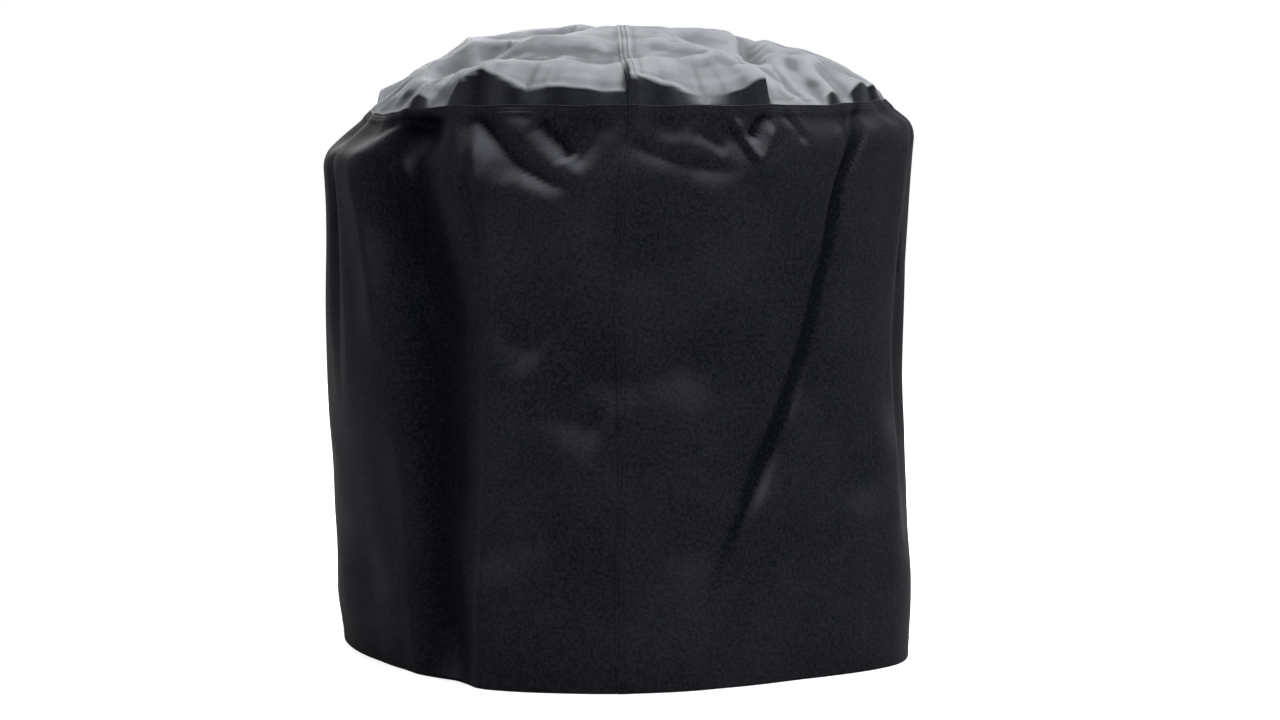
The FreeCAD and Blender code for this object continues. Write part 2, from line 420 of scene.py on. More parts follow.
@dataclass
class CrumpledCloth:
    """Cloth simulation of the whole cover, as one coarse sheet that grows a little and buckles.

    Growth is how much longer the cloth wants to be, the gains say how much of the simulated
    crumpling is used, and jitter is the unevenness that it starts from.
    """

    drape: Drape
    crown_cells: int = 64
    skirt_rows: int = 70
    frames: int = 20
    growth: float = 0.024
    gain: float = 1.7
    crown_gain: float = 3.0
    jitter: float = 0.0004
    seed: int = 11
    crown_shift: np.ndarray = field(init=False)
    skirt_shift: np.ndarray = field(init=False)

    @property
    def columns(self) -> int:
        """Columns of cells round the skirt."""
        return 4 * self.crown_cells

    def build_sheet(self) -> bpy.types.Object:
        """Makes the sheet: a square grid for the crown, and a skirt drawn down from its rim.

        Returns:
            The flat-topped sheet, which isn't draped yet.
        """
        deselect()
        cells = self.crown_cells
        bpy.ops.mesh.primitive_grid_add(x_subdivisions=cells, y_subdivisions=cells, size=2.0)
        sheet = named("crumpled_sheet")
        with editing():
            bpy.ops.mesh.select_mode(type="EDGE")
            bpy.ops.mesh.select_all(action="DESELECT")
            bpy.ops.mesh.select_non_manifold()
            for _ in range(self.skirt_rows):
                bpy.ops.mesh.extrude_region_move(TRANSFORM_OT_translate={"value": (0.0, 0.0, -1.0)})
        self.put_in_order(sheet)
        return sheet

    def put_in_order(self, sheet: bpy.types.Object) -> None:
        """Numbers the sheet's vertices and faces by place, so that every run is the same.

        Args:
            sheet: the sheet, whose new vertices Blender numbers in any order.
        """
        place = np.round(positions(sheet), 4)
        order = np.lexsort((place[:, 0], place[:, 1], -place[:, 2]))
        rank = np.empty(len(order), dtype=int)
        rank[order] = np.arange(len(order))
        faces = []
        for face in sheet.data.polygons:
            corners = [int(rank[index]) for index in face.vertices]
            first = corners.index(min(corners))
            faces.append(corners[first:] + corners[:first])
        sheet.data.clear_geometry()
        sheet.data.from_pydata(place[order].tolist(), [], sorted(faces))
        sheet.data.update()

    def places(self, sheet: bpy.types.Object) -> tuple:
        """Works out which place of the cover each vertex stands for.

        Args:
            sheet: the sheet, not draped yet.

        Returns:
            The azimuths, the shares of the way to the rim, and the shares of the way down.
        """
        flat = positions(sheet)
        azimuth, share = round_place(flat[:, 0], flat[:, 1])
        return azimuth, share, np.round(-flat[:, 2]) / self.skirt_rows

    def plain_points(
        self, azimuth: np.ndarray, share: np.ndarray, down: np.ndarray
    ) -> np.ndarray:
        """Drapes the sheet plainly.

        Args:
            azimuth: the vertices' azimuths.
            share: their shares of the way to the rim.
            down: their shares of the way down the skirt.

        Returns:
            Where each vertex hangs.
        """
        crown = self.drape.crown_point(azimuth, share)
        skirt = self.drape.skirt_point(azimuth, down)
        return np.where((down > 0.0)[:, None], skirt, crown)

    def hold(self, sheet: bpy.types.Object, share: np.ndarray, down: np.ndarray) -> None:
        """Paints how firmly each vertex is held to the plain shape, and how much it grows.

        Args:
            sheet: the draped sheet.
            share: its vertices' shares of the way to the rim.
            down: their shares of the way down the skirt.
        """
        firm = 0.17 + 0.30 * smoothstep(0.90, 1.0, down)
        firm = np.where((down == 0.0) & (share > 0.97), 0.42, firm)
        below = 1.0 - smoothstep(0.0, 0.35, down)
        near_rim = np.where(down > 0.0, below, smoothstep(0.6, 1.0, share))
        slack = 0.30 + 0.70 * near_rim
        for name, values in (("held", firm), ("taut", 1.0 - slack)):
            group = sheet.vertex_groups.new(name=name)
            for index, value in enumerate(values):
                group.add([index], float(value), "REPLACE")

    def simulate(self, sheet: bpy.types.Object) -> None:
        """Runs the cloth simulation and applies it.

        Args:
            sheet: the draped sheet, with its vertex groups.
        """
        only(sheet)
        cloth = sheet.modifiers.new("Crumple", "CLOTH")
        settings = cloth.settings
        for name, value in CLOTH_SETTINGS.items():
            setattr(settings, name, value)
        settings.shrink_min = -self.growth
        settings.effector_weights.gravity = LIGHT_GRAVITY
        cloth.collision_settings.use_collision = False
        cloth.collision_settings.use_self_collision = False
        cloth.point_cache.frame_start = 1
        cloth.point_cache.frame_end = self.frames
        for number in range(1, self.frames + 1):
            bpy.context.scene.frame_set(number)
        apply_modifiers(sheet)
        bpy.context.scene.frame_set(1)

    def run(self) -> None:
        """Crumples the sheet and keeps how far each place moved."""
        cells, rows = self.crown_cells, self.skirt_rows
        self.crown_shift = np.zeros((cells + 1, cells + 1, 3))
        self.skirt_shift = np.zeros((rows + 1, self.columns, 3))
        sheet = self.build_sheet()
        flat = positions(sheet)
        azimuth, share, down = self.places(sheet)
        plain = self.plain_points(azimuth, share, down)
        rng = np.random.default_rng(self.seed)
        move_vertices(sheet, plain + rng.normal(0.0, self.jitter, plain.shape))
        self.hold(sheet, share, down)
        self.simulate(sheet)
        shift = positions(sheet) - plain
        bpy.data.objects.remove(sheet, do_unlink=True)
        LOG.info("crumpled sheet: furthest move %.1f mm", 1000.0 * np.abs(shift).max())
        self.sort_out(flat, azimuth, share, down, shift)
        self.even_out()

    def sort_out(self, flat: np.ndarray, azimuth: np.ndarray, share: np.ndarray,
                 down: np.ndarray, shift: np.ndarray) -> None:
        """Puts each vertex's shift into the grid of the crown or of the skirt.

        Args:
            flat: the vertices before they were draped.
            azimuth: their azimuths.
            share: their shares of the way to the rim.
            down: their shares of the way down the skirt.
            shift: how far the simulation moved them.
        """
        cells, rows = self.crown_cells, self.skirt_rows
        on_crown = down == 0.0
        i = np.round((flat[on_crown, 1] + 1.0) * cells / 2.0).astype(int)
        j = np.round((flat[on_crown, 0] + 1.0) * cells / 2.0).astype(int)
        self.crown_shift[i, j] = shift[on_crown]
        on_skirt = (down > 0.0) | (share > 0.9999)
        row = np.round(down[on_skirt] * rows).astype(int)
        column = np.round(azimuth[on_skirt] / TURN * self.columns).astype(int)
        self.skirt_shift[row, column % self.columns] = shift[on_skirt]

    def even_out(self) -> None:
        """Keeps the creases, drops the broad drift, and joins the crown's grid to the skirt's."""
        crown, skirt = self.crown_shift, self.skirt_shift
        self.crown_shift = self.crown_gain * (calmed(crown, 1) - calmed(crown, 80))
        down_share = np.linspace(0.0, 1.0, self.skirt_rows + 1)[:, None, None]
        fine = 1.0 - smoothstep(0.0, 0.16, down_share)
        even = fine * calmed(skirt, 2, True) + (1.0 - fine) * calmed(skirt, 12, True)
        self.skirt_shift = self.gain * (even - calmed(skirt, 140, True))
        steps = np.abs(np.linspace(-1.0, 1.0, self.crown_cells + 1))
        edge = smoothstep(0.90, 1.0, np.maximum(steps[:, None], steps[None, :]))[..., None]
        self.crown_shift = self.crown_shift * (1.0 - edge) + edge * self.rim_shift()

    def rim_shift(self) -> np.ndarray:
        """Carries the skirt's shift at the rim over to the crown.

        Returns:
            A grid like the crown's, with the shift of the nearest place on the rim.
        """
        steps = np.linspace(-1.0, 1.0, self.crown_cells + 1)
        t, s = np.meshgrid(steps, steps, indexing="ij")
        azimuth, _ = round_place(s, t)
        column = azimuth / TURN * self.columns
        return sample_grid(self.skirt_shift, np.zeros(column.shape), column, True)

    def crown_offset(self, azimuth: np.ndarray, share: np.ndarray) -> np.ndarray:
        """How far the crumpling moves places on the crown.

        Args:
            azimuth: azimuths on the crown.
            share: shares of the way to the rim.

        Returns:
            One vector for each place.
        """
        s, t = square_place(azimuth, np.minimum(share, 1.0))
        half = self.crown_cells / 2.0
        return sample_grid(self.crown_shift, (t + 1.0) * half, (s + 1.0) * half)

    def skirt_offset(self, azimuth: np.ndarray, share: np.ndarray) -> np.ndarray:
        """How far the crumpling moves places on the skirt."""
        column = azimuth / TURN * self.columns
        return sample_grid(self.skirt_shift, share * self.skirt_rows, column, True)


# ---- folds pressed into the cloth ---------------------------------------------------------
@dataclass(frozen=True)
class Crease:
    """A fold along a line.  Its two sides may differ, so that one is steep and one is easy.

    Left and right are the widths on the left and right hand of someone who walks the line.
    Rise is negative for a valley.  Fade and tail are the shares of the line over which the
    fold starts and ends, and spread is how many times wider it is at its end.
    """

    points: tuple
    rise: float
    left: float
    right: float
    soft: float = 0.003
    power: float = 1.5
    fade: float = 0.25
    tail: float = 0.25
    spread: float = 1.0

    def line(self) -> np.ndarray:
        """Rounds the corners of the fold's line.

        Returns:
            A run of points, three for each one that was given.
        """
        points = np.array(self.points)
        place = np.linspace(0.0, len(points) - 1.0, 3 * (len(points) - 1) + 1)
        return sample_grid(points[:, None, :], place, np.zeros(len(place)))

    def lift(self, u: np.ndarray, v: np.ndarray) -> np.ndarray:
        """How far the fold lifts places on the cloth.

        Args:
            u: places across, in metres.
            v: places up, in metres.

        Returns:
            The lift at each place.
        """
        line = self.line()
        reach = max(self.left, self.right) * max(1.0, self.spread)
        low, high = line.min(axis=0) - reach, line.max(axis=0) + reach
        near = (u > low[0]) & (u < high[0]) & (v > low[1]) & (v < high[1])
        result = np.zeros(u.shape)
        result[near] = self.lift_near(line, u[near], v[near])
        return result

    def lift_near(self, line: np.ndarray, u: np.ndarray, v: np.ndarray) -> np.ndarray:
        """The lift at places that are close to the fold's line.

        Args:
            line: the fold's line.
            u: places across.
            v: places up.

        Returns:
            The lift at each place.
        """
        total = np.sum(np.hypot(*np.diff(line, axis=0).T))
        best = np.full(u.shape, np.inf)
        hand = np.zeros(u.shape)
        place = np.zeros(u.shape)
        done = 0.0
        for start, end in zip(line[:-1], line[1:]):
            length = np.hypot(*(end - start))
            step = (end - start) / length
            kept = np.clip((u - start[0]) * step[0] + (v - start[1]) * step[1], 0.0, length)
            du = u - start[0] - step[0] * kept
            dv = v - start[1] - step[1] * kept
            apart = np.hypot(du, dv)
            nearer = apart < best
            turned = (step[0] * dv - step[1] * du) / np.maximum(apart, 1e-9)
            best = np.where(nearer, apart, best)
            hand = np.where(nearer, turned, hand)
            place = np.where(nearer, (done + kept) / total, place)
            done += length
        width = 0.5 * (self.left * (1.0 + hand) + self.right * (1.0 - hand))
        width = width * (1.0 + (self.spread - 1.0) * place)
        apart = np.sqrt(best**2 + self.soft**2) - self.soft
        ends = smoothstep(-0.05, self.fade, place) * smoothstep(-0.05, self.tail, 1.0 - place)
        return self.rise * ends * np.clip(1.0 - apart / width, 0.0, 1.0) ** self.power


SKIRT_RADIUS = 0.355


def on_skirt(points: tuple, *sizes: float, **more: float) -> Crease:
    """A fold on the skirt, along (azimuth in degrees, height) points."""
    return Crease(tuple((math.radians(a) * SKIRT_RADIUS, z) for a, z in points), *sizes, **more)


PLEAT = (
    # the long pleat from the right of the rim down to the middle of the hem, wider downwards
    on_skirt(((63, 0.672), (57, 0.645), (50.5, 0.606), (46.0, 0.562), (44.0, 0.521), (42.2, 0.477),
              (39.8, 0.433), (37.2, 0.380), (33.5, 0.326), (29.5, 0.272), (24.2, 0.206),
              (18.6, 0.13),
              (15.5, 0.06)),
              -0.0055, 0.0080, 0.0092, soft=0.003, power=1.8, fade=0.02, tail=0.45, spread=2.5),
)
SKIRT_FOLDS = PLEAT + (
    # the easy slope down to the long pleat, and the small creases beside it
    on_skirt(((63, 0.672), (50.5, 0.606), (44.0, 0.521), (39.8, 0.433), (33.5, 0.326),
              (24.2, 0.206),
              (15.5, 0.06)),
              -0.004, 0.030, 0.090, soft=0.006, power=2.0, fade=0.02, tail=0.35, spread=1.6),
    on_skirt(((53, 0.650), (49, 0.610), (45.5, 0.560), (43.0, 0.505)),
              -0.005, 0.008, 0.012, soft=0.002),
    on_skirt(((33, 0.200), (28, 0.140), (22, 0.080), (18, -0.02)),
              -0.004, 0.040, 0.050, soft=0.010, power=2.0),
    # the deep trough on the left: an easy fall from the left, and a dark wall up to a crisp edge
    on_skirt(((-49, 0.72), (-46, 0.63), (-41.5, 0.53), (-37.5, 0.44), (-35.5, 0.36), (-34.5, 0.29),
              (-34, 0.22), (-34, 0.14), (-33, 0.05), (-32, -0.05)),
             -0.029, 0.072, 0.092, soft=0.012, power=1.30, fade=0.06, tail=0.16, spread=0.62),
    on_skirt(((-30, 0.66), (-25.5, 0.58), (-23.4, 0.51), (-23, 0.44), (-23.2, 0.36), (-23.0, 0.28),
              (-23.4, 0.20), (-24.2, 0.12), (-25.5, 0.03), (-26.5, -0.05)),
             0.010, 0.110, 0.016, soft=0.002, power=1.4, fade=0.12, tail=0.20),
    on_skirt(((-60, 0.61), (-57, 0.52), (-53, 0.44), (-52, 0.36)), 0.006, 0.030, 0.040, soft=0.008),
    on_skirt(((-47, 0.60), (-43.5, 0.54), (-41.5, 0.49)), 0.004, 0.012, 0.012, soft=0.003),
    on_skirt(((-74, 0.62), (-73, 0.50), (-70, 0.38), (-70, 0.28)),
              -0.010, 0.030, 0.024, soft=0.007, tail=0.7),
    # the pouch left of the middle: a dark hollow under the rim, with a lit slope below it
    on_skirt(((-30.5, 0.654), (-28.3, 0.639), (-23.3, 0.614), (-18.4, 0.586), (-15, 0.574),
              (-11.4, 0.563),
              (-7.0, 0.557)), -0.0125, 0.034, 0.042, soft=0.002, power=2.8, fade=0.12, tail=0.35),
    on_skirt(((-26.5, 0.578), (-23.4, 0.562), (-18.0, 0.552)), 0.003, 0.022, 0.014, soft=0.004),
    on_skirt(((-15.5, 0.636), (-12.4, 0.617), (-9.6, 0.602), (-8.6, 0.590)),
             -0.009, 0.017, 0.024, soft=0.003, power=1.9, fade=0.20, tail=0.14),
    on_skirt(((-3.0, 0.640), (-4.5, 0.610), (-8.0, 0.580)),
              -0.005, 0.020, 0.025, soft=0.003, power=1.8),
    # the swag right of the middle, and the small dart near the rim
    on_skirt(((0.5, 0.614), (5.5, 0.6004), (10.6, 0.589), (16.8, 0.580), (24, 0.578)),
             -0.009, 0.024, 0.044, soft=0.003, power=1.9, fade=0.15, tail=0.40),
    on_skirt(((14, 0.625), (18, 0.612), (21, 0.600)), -0.004, 0.016, 0.020, soft=0.003, power=1.8),
    on_skirt(((30.0, 0.641), (27.8, 0.628), (26.0, 0.617)),
             -0.009, 0.008, 0.007, soft=0.001, power=1.4, fade=0.10, tail=0.10),
    on_skirt(((23.2, 0.640), (24.4, 0.616), (26.0, 0.593), (26.8, 0.593), (28.8, 0.610),
              (31.0, 0.627)),
             0.008, 0.021, 0.008, soft=0.002, power=1.6, fade=0.10, tail=0.15),
    on_skirt(((34, 0.648), (36, 0.626), (37, 0.604)), -0.005, 0.010, 0.012, soft=0.002),
    # broad soft hollows in the middle of the front, each with a lighter slope below it
    on_skirt(((-10, 0.392), (-3, 0.366), (5, 0.356), (12, 0.378), (18.5, 0.420)),
             -0.0050, 0.056, 0.066, soft=0.016, power=2.2),
    on_skirt(((-17, 0.322), (-10, 0.306), (-1.5, 0.288)),
              -0.0034, 0.034, 0.052, soft=0.012, power=2.2),
    on_skirt(((-24, 0.440), (-20, 0.398), (-13, 0.372)),
              -0.0044, 0.044, 0.052, soft=0.014, power=2.2),
    on_skirt(((2, 0.615), (8, 0.605), (16, 0.600)), 0.003, 0.030, 0.040, soft=0.010, power=2.0),
    on_skirt(((-16, 0.190), (-8, 0.178), (0, 0.180)), -0.002, 0.060, 0.070, soft=0.020, power=2.2),
    # the sides and the back
    on_skirt(((79, 0.628), (75.5, 0.57), (74.5, 0.50), (75, 0.44)),
              -0.008, 0.014, 0.010, soft=0.002),
    on_skirt(((78, 0.60), (74, 0.45), (70, 0.28), (66, 0.10)), -0.008, 0.050, 0.035, soft=0.010),
    on_skirt(((98, 0.62), (103, 0.48), (101, 0.30), (106, 0.12)), 0.010, 0.060, 0.025, soft=0.006),
    on_skirt(((128, 0.64), (122, 0.50), (120, 0.34), (113, 0.16), (112, -0.03)),
             -0.018, 0.040, 0.060, soft=0.012, fade=0.15),
    on_skirt(((150, 0.64), (144, 0.57), (135, 0.52), (126, 0.50)), 0.005, 0.034, 0.030, soft=0.009),
    on_skirt(((165, 0.55), (160, 0.40), (163, 0.22)), 0.007, 0.060, 0.040, soft=0.012),
    on_skirt(((196, 0.65), (200, 0.52), (207, 0.38), (209, 0.20), (214, 0.02)),
             0.013, 0.090, 0.018, soft=0.005),
    on_skirt(((186, 0.63), (190, 0.59), (197, 0.56)), 0.005, 0.034, 0.026, soft=0.008),
    on_skirt(((232, 0.64), (228, 0.50), (231, 0.33), (226, 0.12), (227, -0.03)),
             -0.017, 0.060, 0.045, soft=0.012, fade=0.15),
    on_skirt(((250, 0.62), (256, 0.48), (253, 0.30)), 0.009, 0.040, 0.050, soft=0.010),
)


def round_steps(steps: tuple, degrees: np.ndarray) -> np.ndarray:
    """Looks up (azimuth in degrees, value) steps that go once round the cover."""
    known, values = np.array(steps).T
    return np.interp(degrees, known, values, period=360.0)


# how far the crown's cloth falls steeply before it meets the rim seam
RIM_DROP = (
    (-75, 0.0), (-58, 0.0), (-52, 0.002), (-48.6, 0.012), (-43, 0.001), (-38, 0.001),
    (-34, 0.020), (-28.5, 0.034), (-25, 0.026), (-22, 0.018), (-18, 0.010), (-13.8, 0.018),
    (-8, 0.014), (0, 0.010), (1.8, 0.010), (2.8, 0.028), (8, 0.023), (12, 0.014),
    (17.5, 0.003), (22, 0.007), (28, 0.021), (30.8, 0.022), (32, 0.001), (37, 0.001),
    (39.5, 0.004), (42, 0.0), (47.5, 0.001), (50.5, 0.011), (54, 0.001), (57, 0.002),
    (62, 0.020), (68, 0.015), (76, 0.008), (88, 0.0),
    (120, 0.004), (128, 0.022), (141, 0.014), (150, 0.002), (158, 0.020), (175, 0.018),
    (188, 0.006), (196, 0.026), (214, 0.014), (222, 0.001), (236, 0.003), (243, 0.024),
    (262, 0.012), (270, 0.002), (285, 0.0),
)
# how far the skirt's foot stands out from a circle
HEM_SPREAD = (
    (-120, 0.0), (-104, -0.002), (-93, -0.013), (-82, -0.017), (-73, -0.022), (-60, -0.027),
    (-47, -0.022), (-40, -0.010), (-33, 0.004), (-27, 0.011), (-20, 0.015), (-10, 0.014),
    (0, 0.013), (8, 0.009), (16, 0.005), (26, -0.002), (36, -0.004), (44, 0.004), (53, 0.018),
    (59, 0.026), (65, 0.023), (76, 0.002), (88, -0.010), (105, -0.010), (125, 0.0),
    (150, 0.006), (165, -0.004), (180, -0.008), (200, 0.004), (220, 0.008), (232, 0.0),
)
HEM_BLUR = 3.5


def hem_spread(azimuth: np.ndarray) -> np.ndarray:
    """How far the skirt's foot stands out, with the steps of HEM_SPREAD blurred.

    Args:
        azimuth: azimuths, in radians.

    Returns:
        The distance at each azimuth.
    """
    every = np.arange(360.0)
    plain = round_steps(HEM_SPREAD, every)
    apart = np.arange(-12, 13)
    weight = np.exp(-((apart / HEM_BLUR) ** 2))
    even = sum(w * np.roll(plain, k) for k, w in zip(apart, weight)) / weight.sum()
    return np.interp(np.degrees(azimuth), every, even, period=360.0)


@dataclass(frozen=True)
class Dent:
    """A soft hollow, deepest at one azimuth and, if it isn't the same all along, at one place."""

    depth: float
    azimuth: float
    wide: float
    along: float = 0.0
    tall: float = 1.0

    def at(self, azimuth: np.ndarray, along: np.ndarray) -> np.ndarray:
        """How deep the hollow is at each place."""
        sideways = bump(azimuth, self.azimuth, self.wide)
        return self.depth * sideways * bump(along, self.along, self.tall)


def depth_of(dents: tuple, azimuth: np.ndarray, along: np.ndarray | float = 0.0) -> np.ndarray:
    """How deep some dents are together."""
    return sum(dent.at(azimuth, along) for dent in dents)


SKIRT_DENTS = (Dent(0.006, -1.5, 0.6, 0.55, 0.12), Dent(0.009, 1.55, 0.7, 0.36, 0.13))
CROWN_DENTS = (Dent(0.009, -1.50, 0.40, 0.88, 0.11),)
HEM_CURL = (Dent(0.006, -1.35, 0.55),)
RIM_SAG = (Dent(0.011, -1.28, 0.42), Dent(-0.007, 1.45, 0.45), Dent(0.006, 2.3, 0.5))
WIDER_FALLS = (Dent(0.030, -0.46, 0.13), Dent(0.014, 0.16, 0.08))


CROWN_FOLDS = (
    # the left shoulder of the crown, and the ridges that meet on it
    Crease(((-0.190, 0.030), (-0.176, -0.049), (-0.157, -0.190)), 0.008, 0.035, 0.055, soft=0.001),
    Crease(((-0.157, -0.190), (-0.138, -0.163), (-0.110, -0.150)),
            -0.006, 0.022, 0.020, soft=0.002),
    Crease(((-0.157, -0.190), (-0.118, -0.185), (-0.065, -0.198), (0.003, -0.224)),
           0.009, 0.040, 0.022, soft=0.001, fade=0.15),
    Crease(((-0.150, -0.192), (-0.185, -0.222), (-0.215, -0.245)), 0.011, 0.020, 0.026, soft=0.001),
    Crease(((-0.120, -0.225), (-0.090, -0.235), (-0.060, -0.232)),
            -0.005, 0.016, 0.022, soft=0.003),
    Crease(((-0.215, -0.215), (-0.200, -0.170), (-0.190, -0.120)),
            -0.008, 0.030, 0.025, soft=0.001),
    Crease(((-0.245, -0.160), (-0.225, -0.120), (-0.200, -0.090)), 0.007, 0.020, 0.035, soft=0.001),
    Crease(((-0.20, -0.16), (-0.22, -0.02), (-0.19, 0.12)),
            -0.009, 0.090, 0.090, soft=0.020, power=2.0),
    # the short upright crease right of the middle, and the facets round it
    Crease(((0.145, 0.020), (0.151, -0.099), (0.150, -0.170), (0.162, -0.210)),
            -0.012, 0.035, 0.012, soft=0.001),
    Crease(((0.172, 0.010), (0.178, -0.110), (0.172, -0.190)), 0.006, 0.060, 0.022, soft=0.002),
    Crease(((0.185, -0.14), (0.195, 0.00), (0.18, 0.14)),
            -0.010, 0.080, 0.080, soft=0.020, power=2.0),
    Crease(((0.155, -0.215), (0.190, -0.225), (0.235, -0.205)), -0.006, 0.022, 0.020, soft=0.003),
    Crease(((0.060, -0.060), (0.120, -0.130), (0.200, -0.230)), -0.006, 0.040, 0.030, soft=0.002),
    Crease(((0.030, -0.190), (0.090, -0.215), (0.140, -0.235)), 0.006, 0.030, 0.020, soft=0.001),
    Crease(((0.150, -0.205), (0.110, -0.235), (0.070, -0.262)), 0.006, 0.016, 0.016, soft=0.001),
    Crease(((0.235, -0.130), (0.215, -0.180), (0.225, -0.225)), 0.007, 0.025, 0.020, soft=0.001),
    Crease(((0.010, -0.230), (-0.050, -0.215), (-0.110, -0.222)), -0.005, 0.018, 0.026, soft=0.001),
    # the back half
    Crease(((-0.100, 0.110), (-0.160, 0.190), (-0.200, 0.240)), 0.006, 0.040, 0.050),
    Crease(((0.080, 0.100), (0.110, 0.190), (0.160, 0.250)), 0.009, 0.040, 0.040),
    Crease(((0.150, 0.060), (0.220, 0.080), (0.290, 0.070)), 0.009, 0.040, 0.040),
    Crease(((-0.190, 0.030), (-0.240, 0.020), (-0.290, 0.040)), -0.006, 0.030, 0.040),
)


MARGIN = 3.0


@dataclass
class FoldField:
    """The folds of one part, worked out once over an even grid and then looked up.

    The grid has a margin of a few steps all round.  Turn is the cloth's length once round.
    """

    folds: tuple
    low: tuple
    high: tuple
    turn: float = 0.0
    step: float = 0.002
    heights: np.ndarray = field(init=False)

    def __post_init__(self) -> None:
        """Adds up the folds, and their repeats one turn away where the cloth goes right round."""
        margin = MARGIN * self.step
        u = np.arange(self.low[0] - margin, self.high[0] + margin, self.step)
        v = np.arange(self.low[1] - margin, self.high[1] + margin, self.step)
        grid_v, grid_u = np.meshgrid(v, u, indexing="ij")
        turns = (-self.turn, 0.0, self.turn) if self.turn else (0.0,)
        total = sum(fold.lift(grid_u + turn, grid_v) for fold in self.folds for turn in turns)
        self.heights = total[..., None]

    def at(self, u: np.ndarray, v: np.ndarray) -> np.ndarray:
        """Looks up the folds' height.

        Args:
            u: places across.
            v: places up.

        Returns:
            The height at each place.
        """
        if self.turn:
            u = (u + 0.5 * self.turn) % self.turn - 0.5 * self.turn
        column = (u - self.low[0]) / self.step + MARGIN
        row = (v - self.low[1]) / self.step + MARGIN
        return sample_grid(self.heights, row, column)[..., 0]


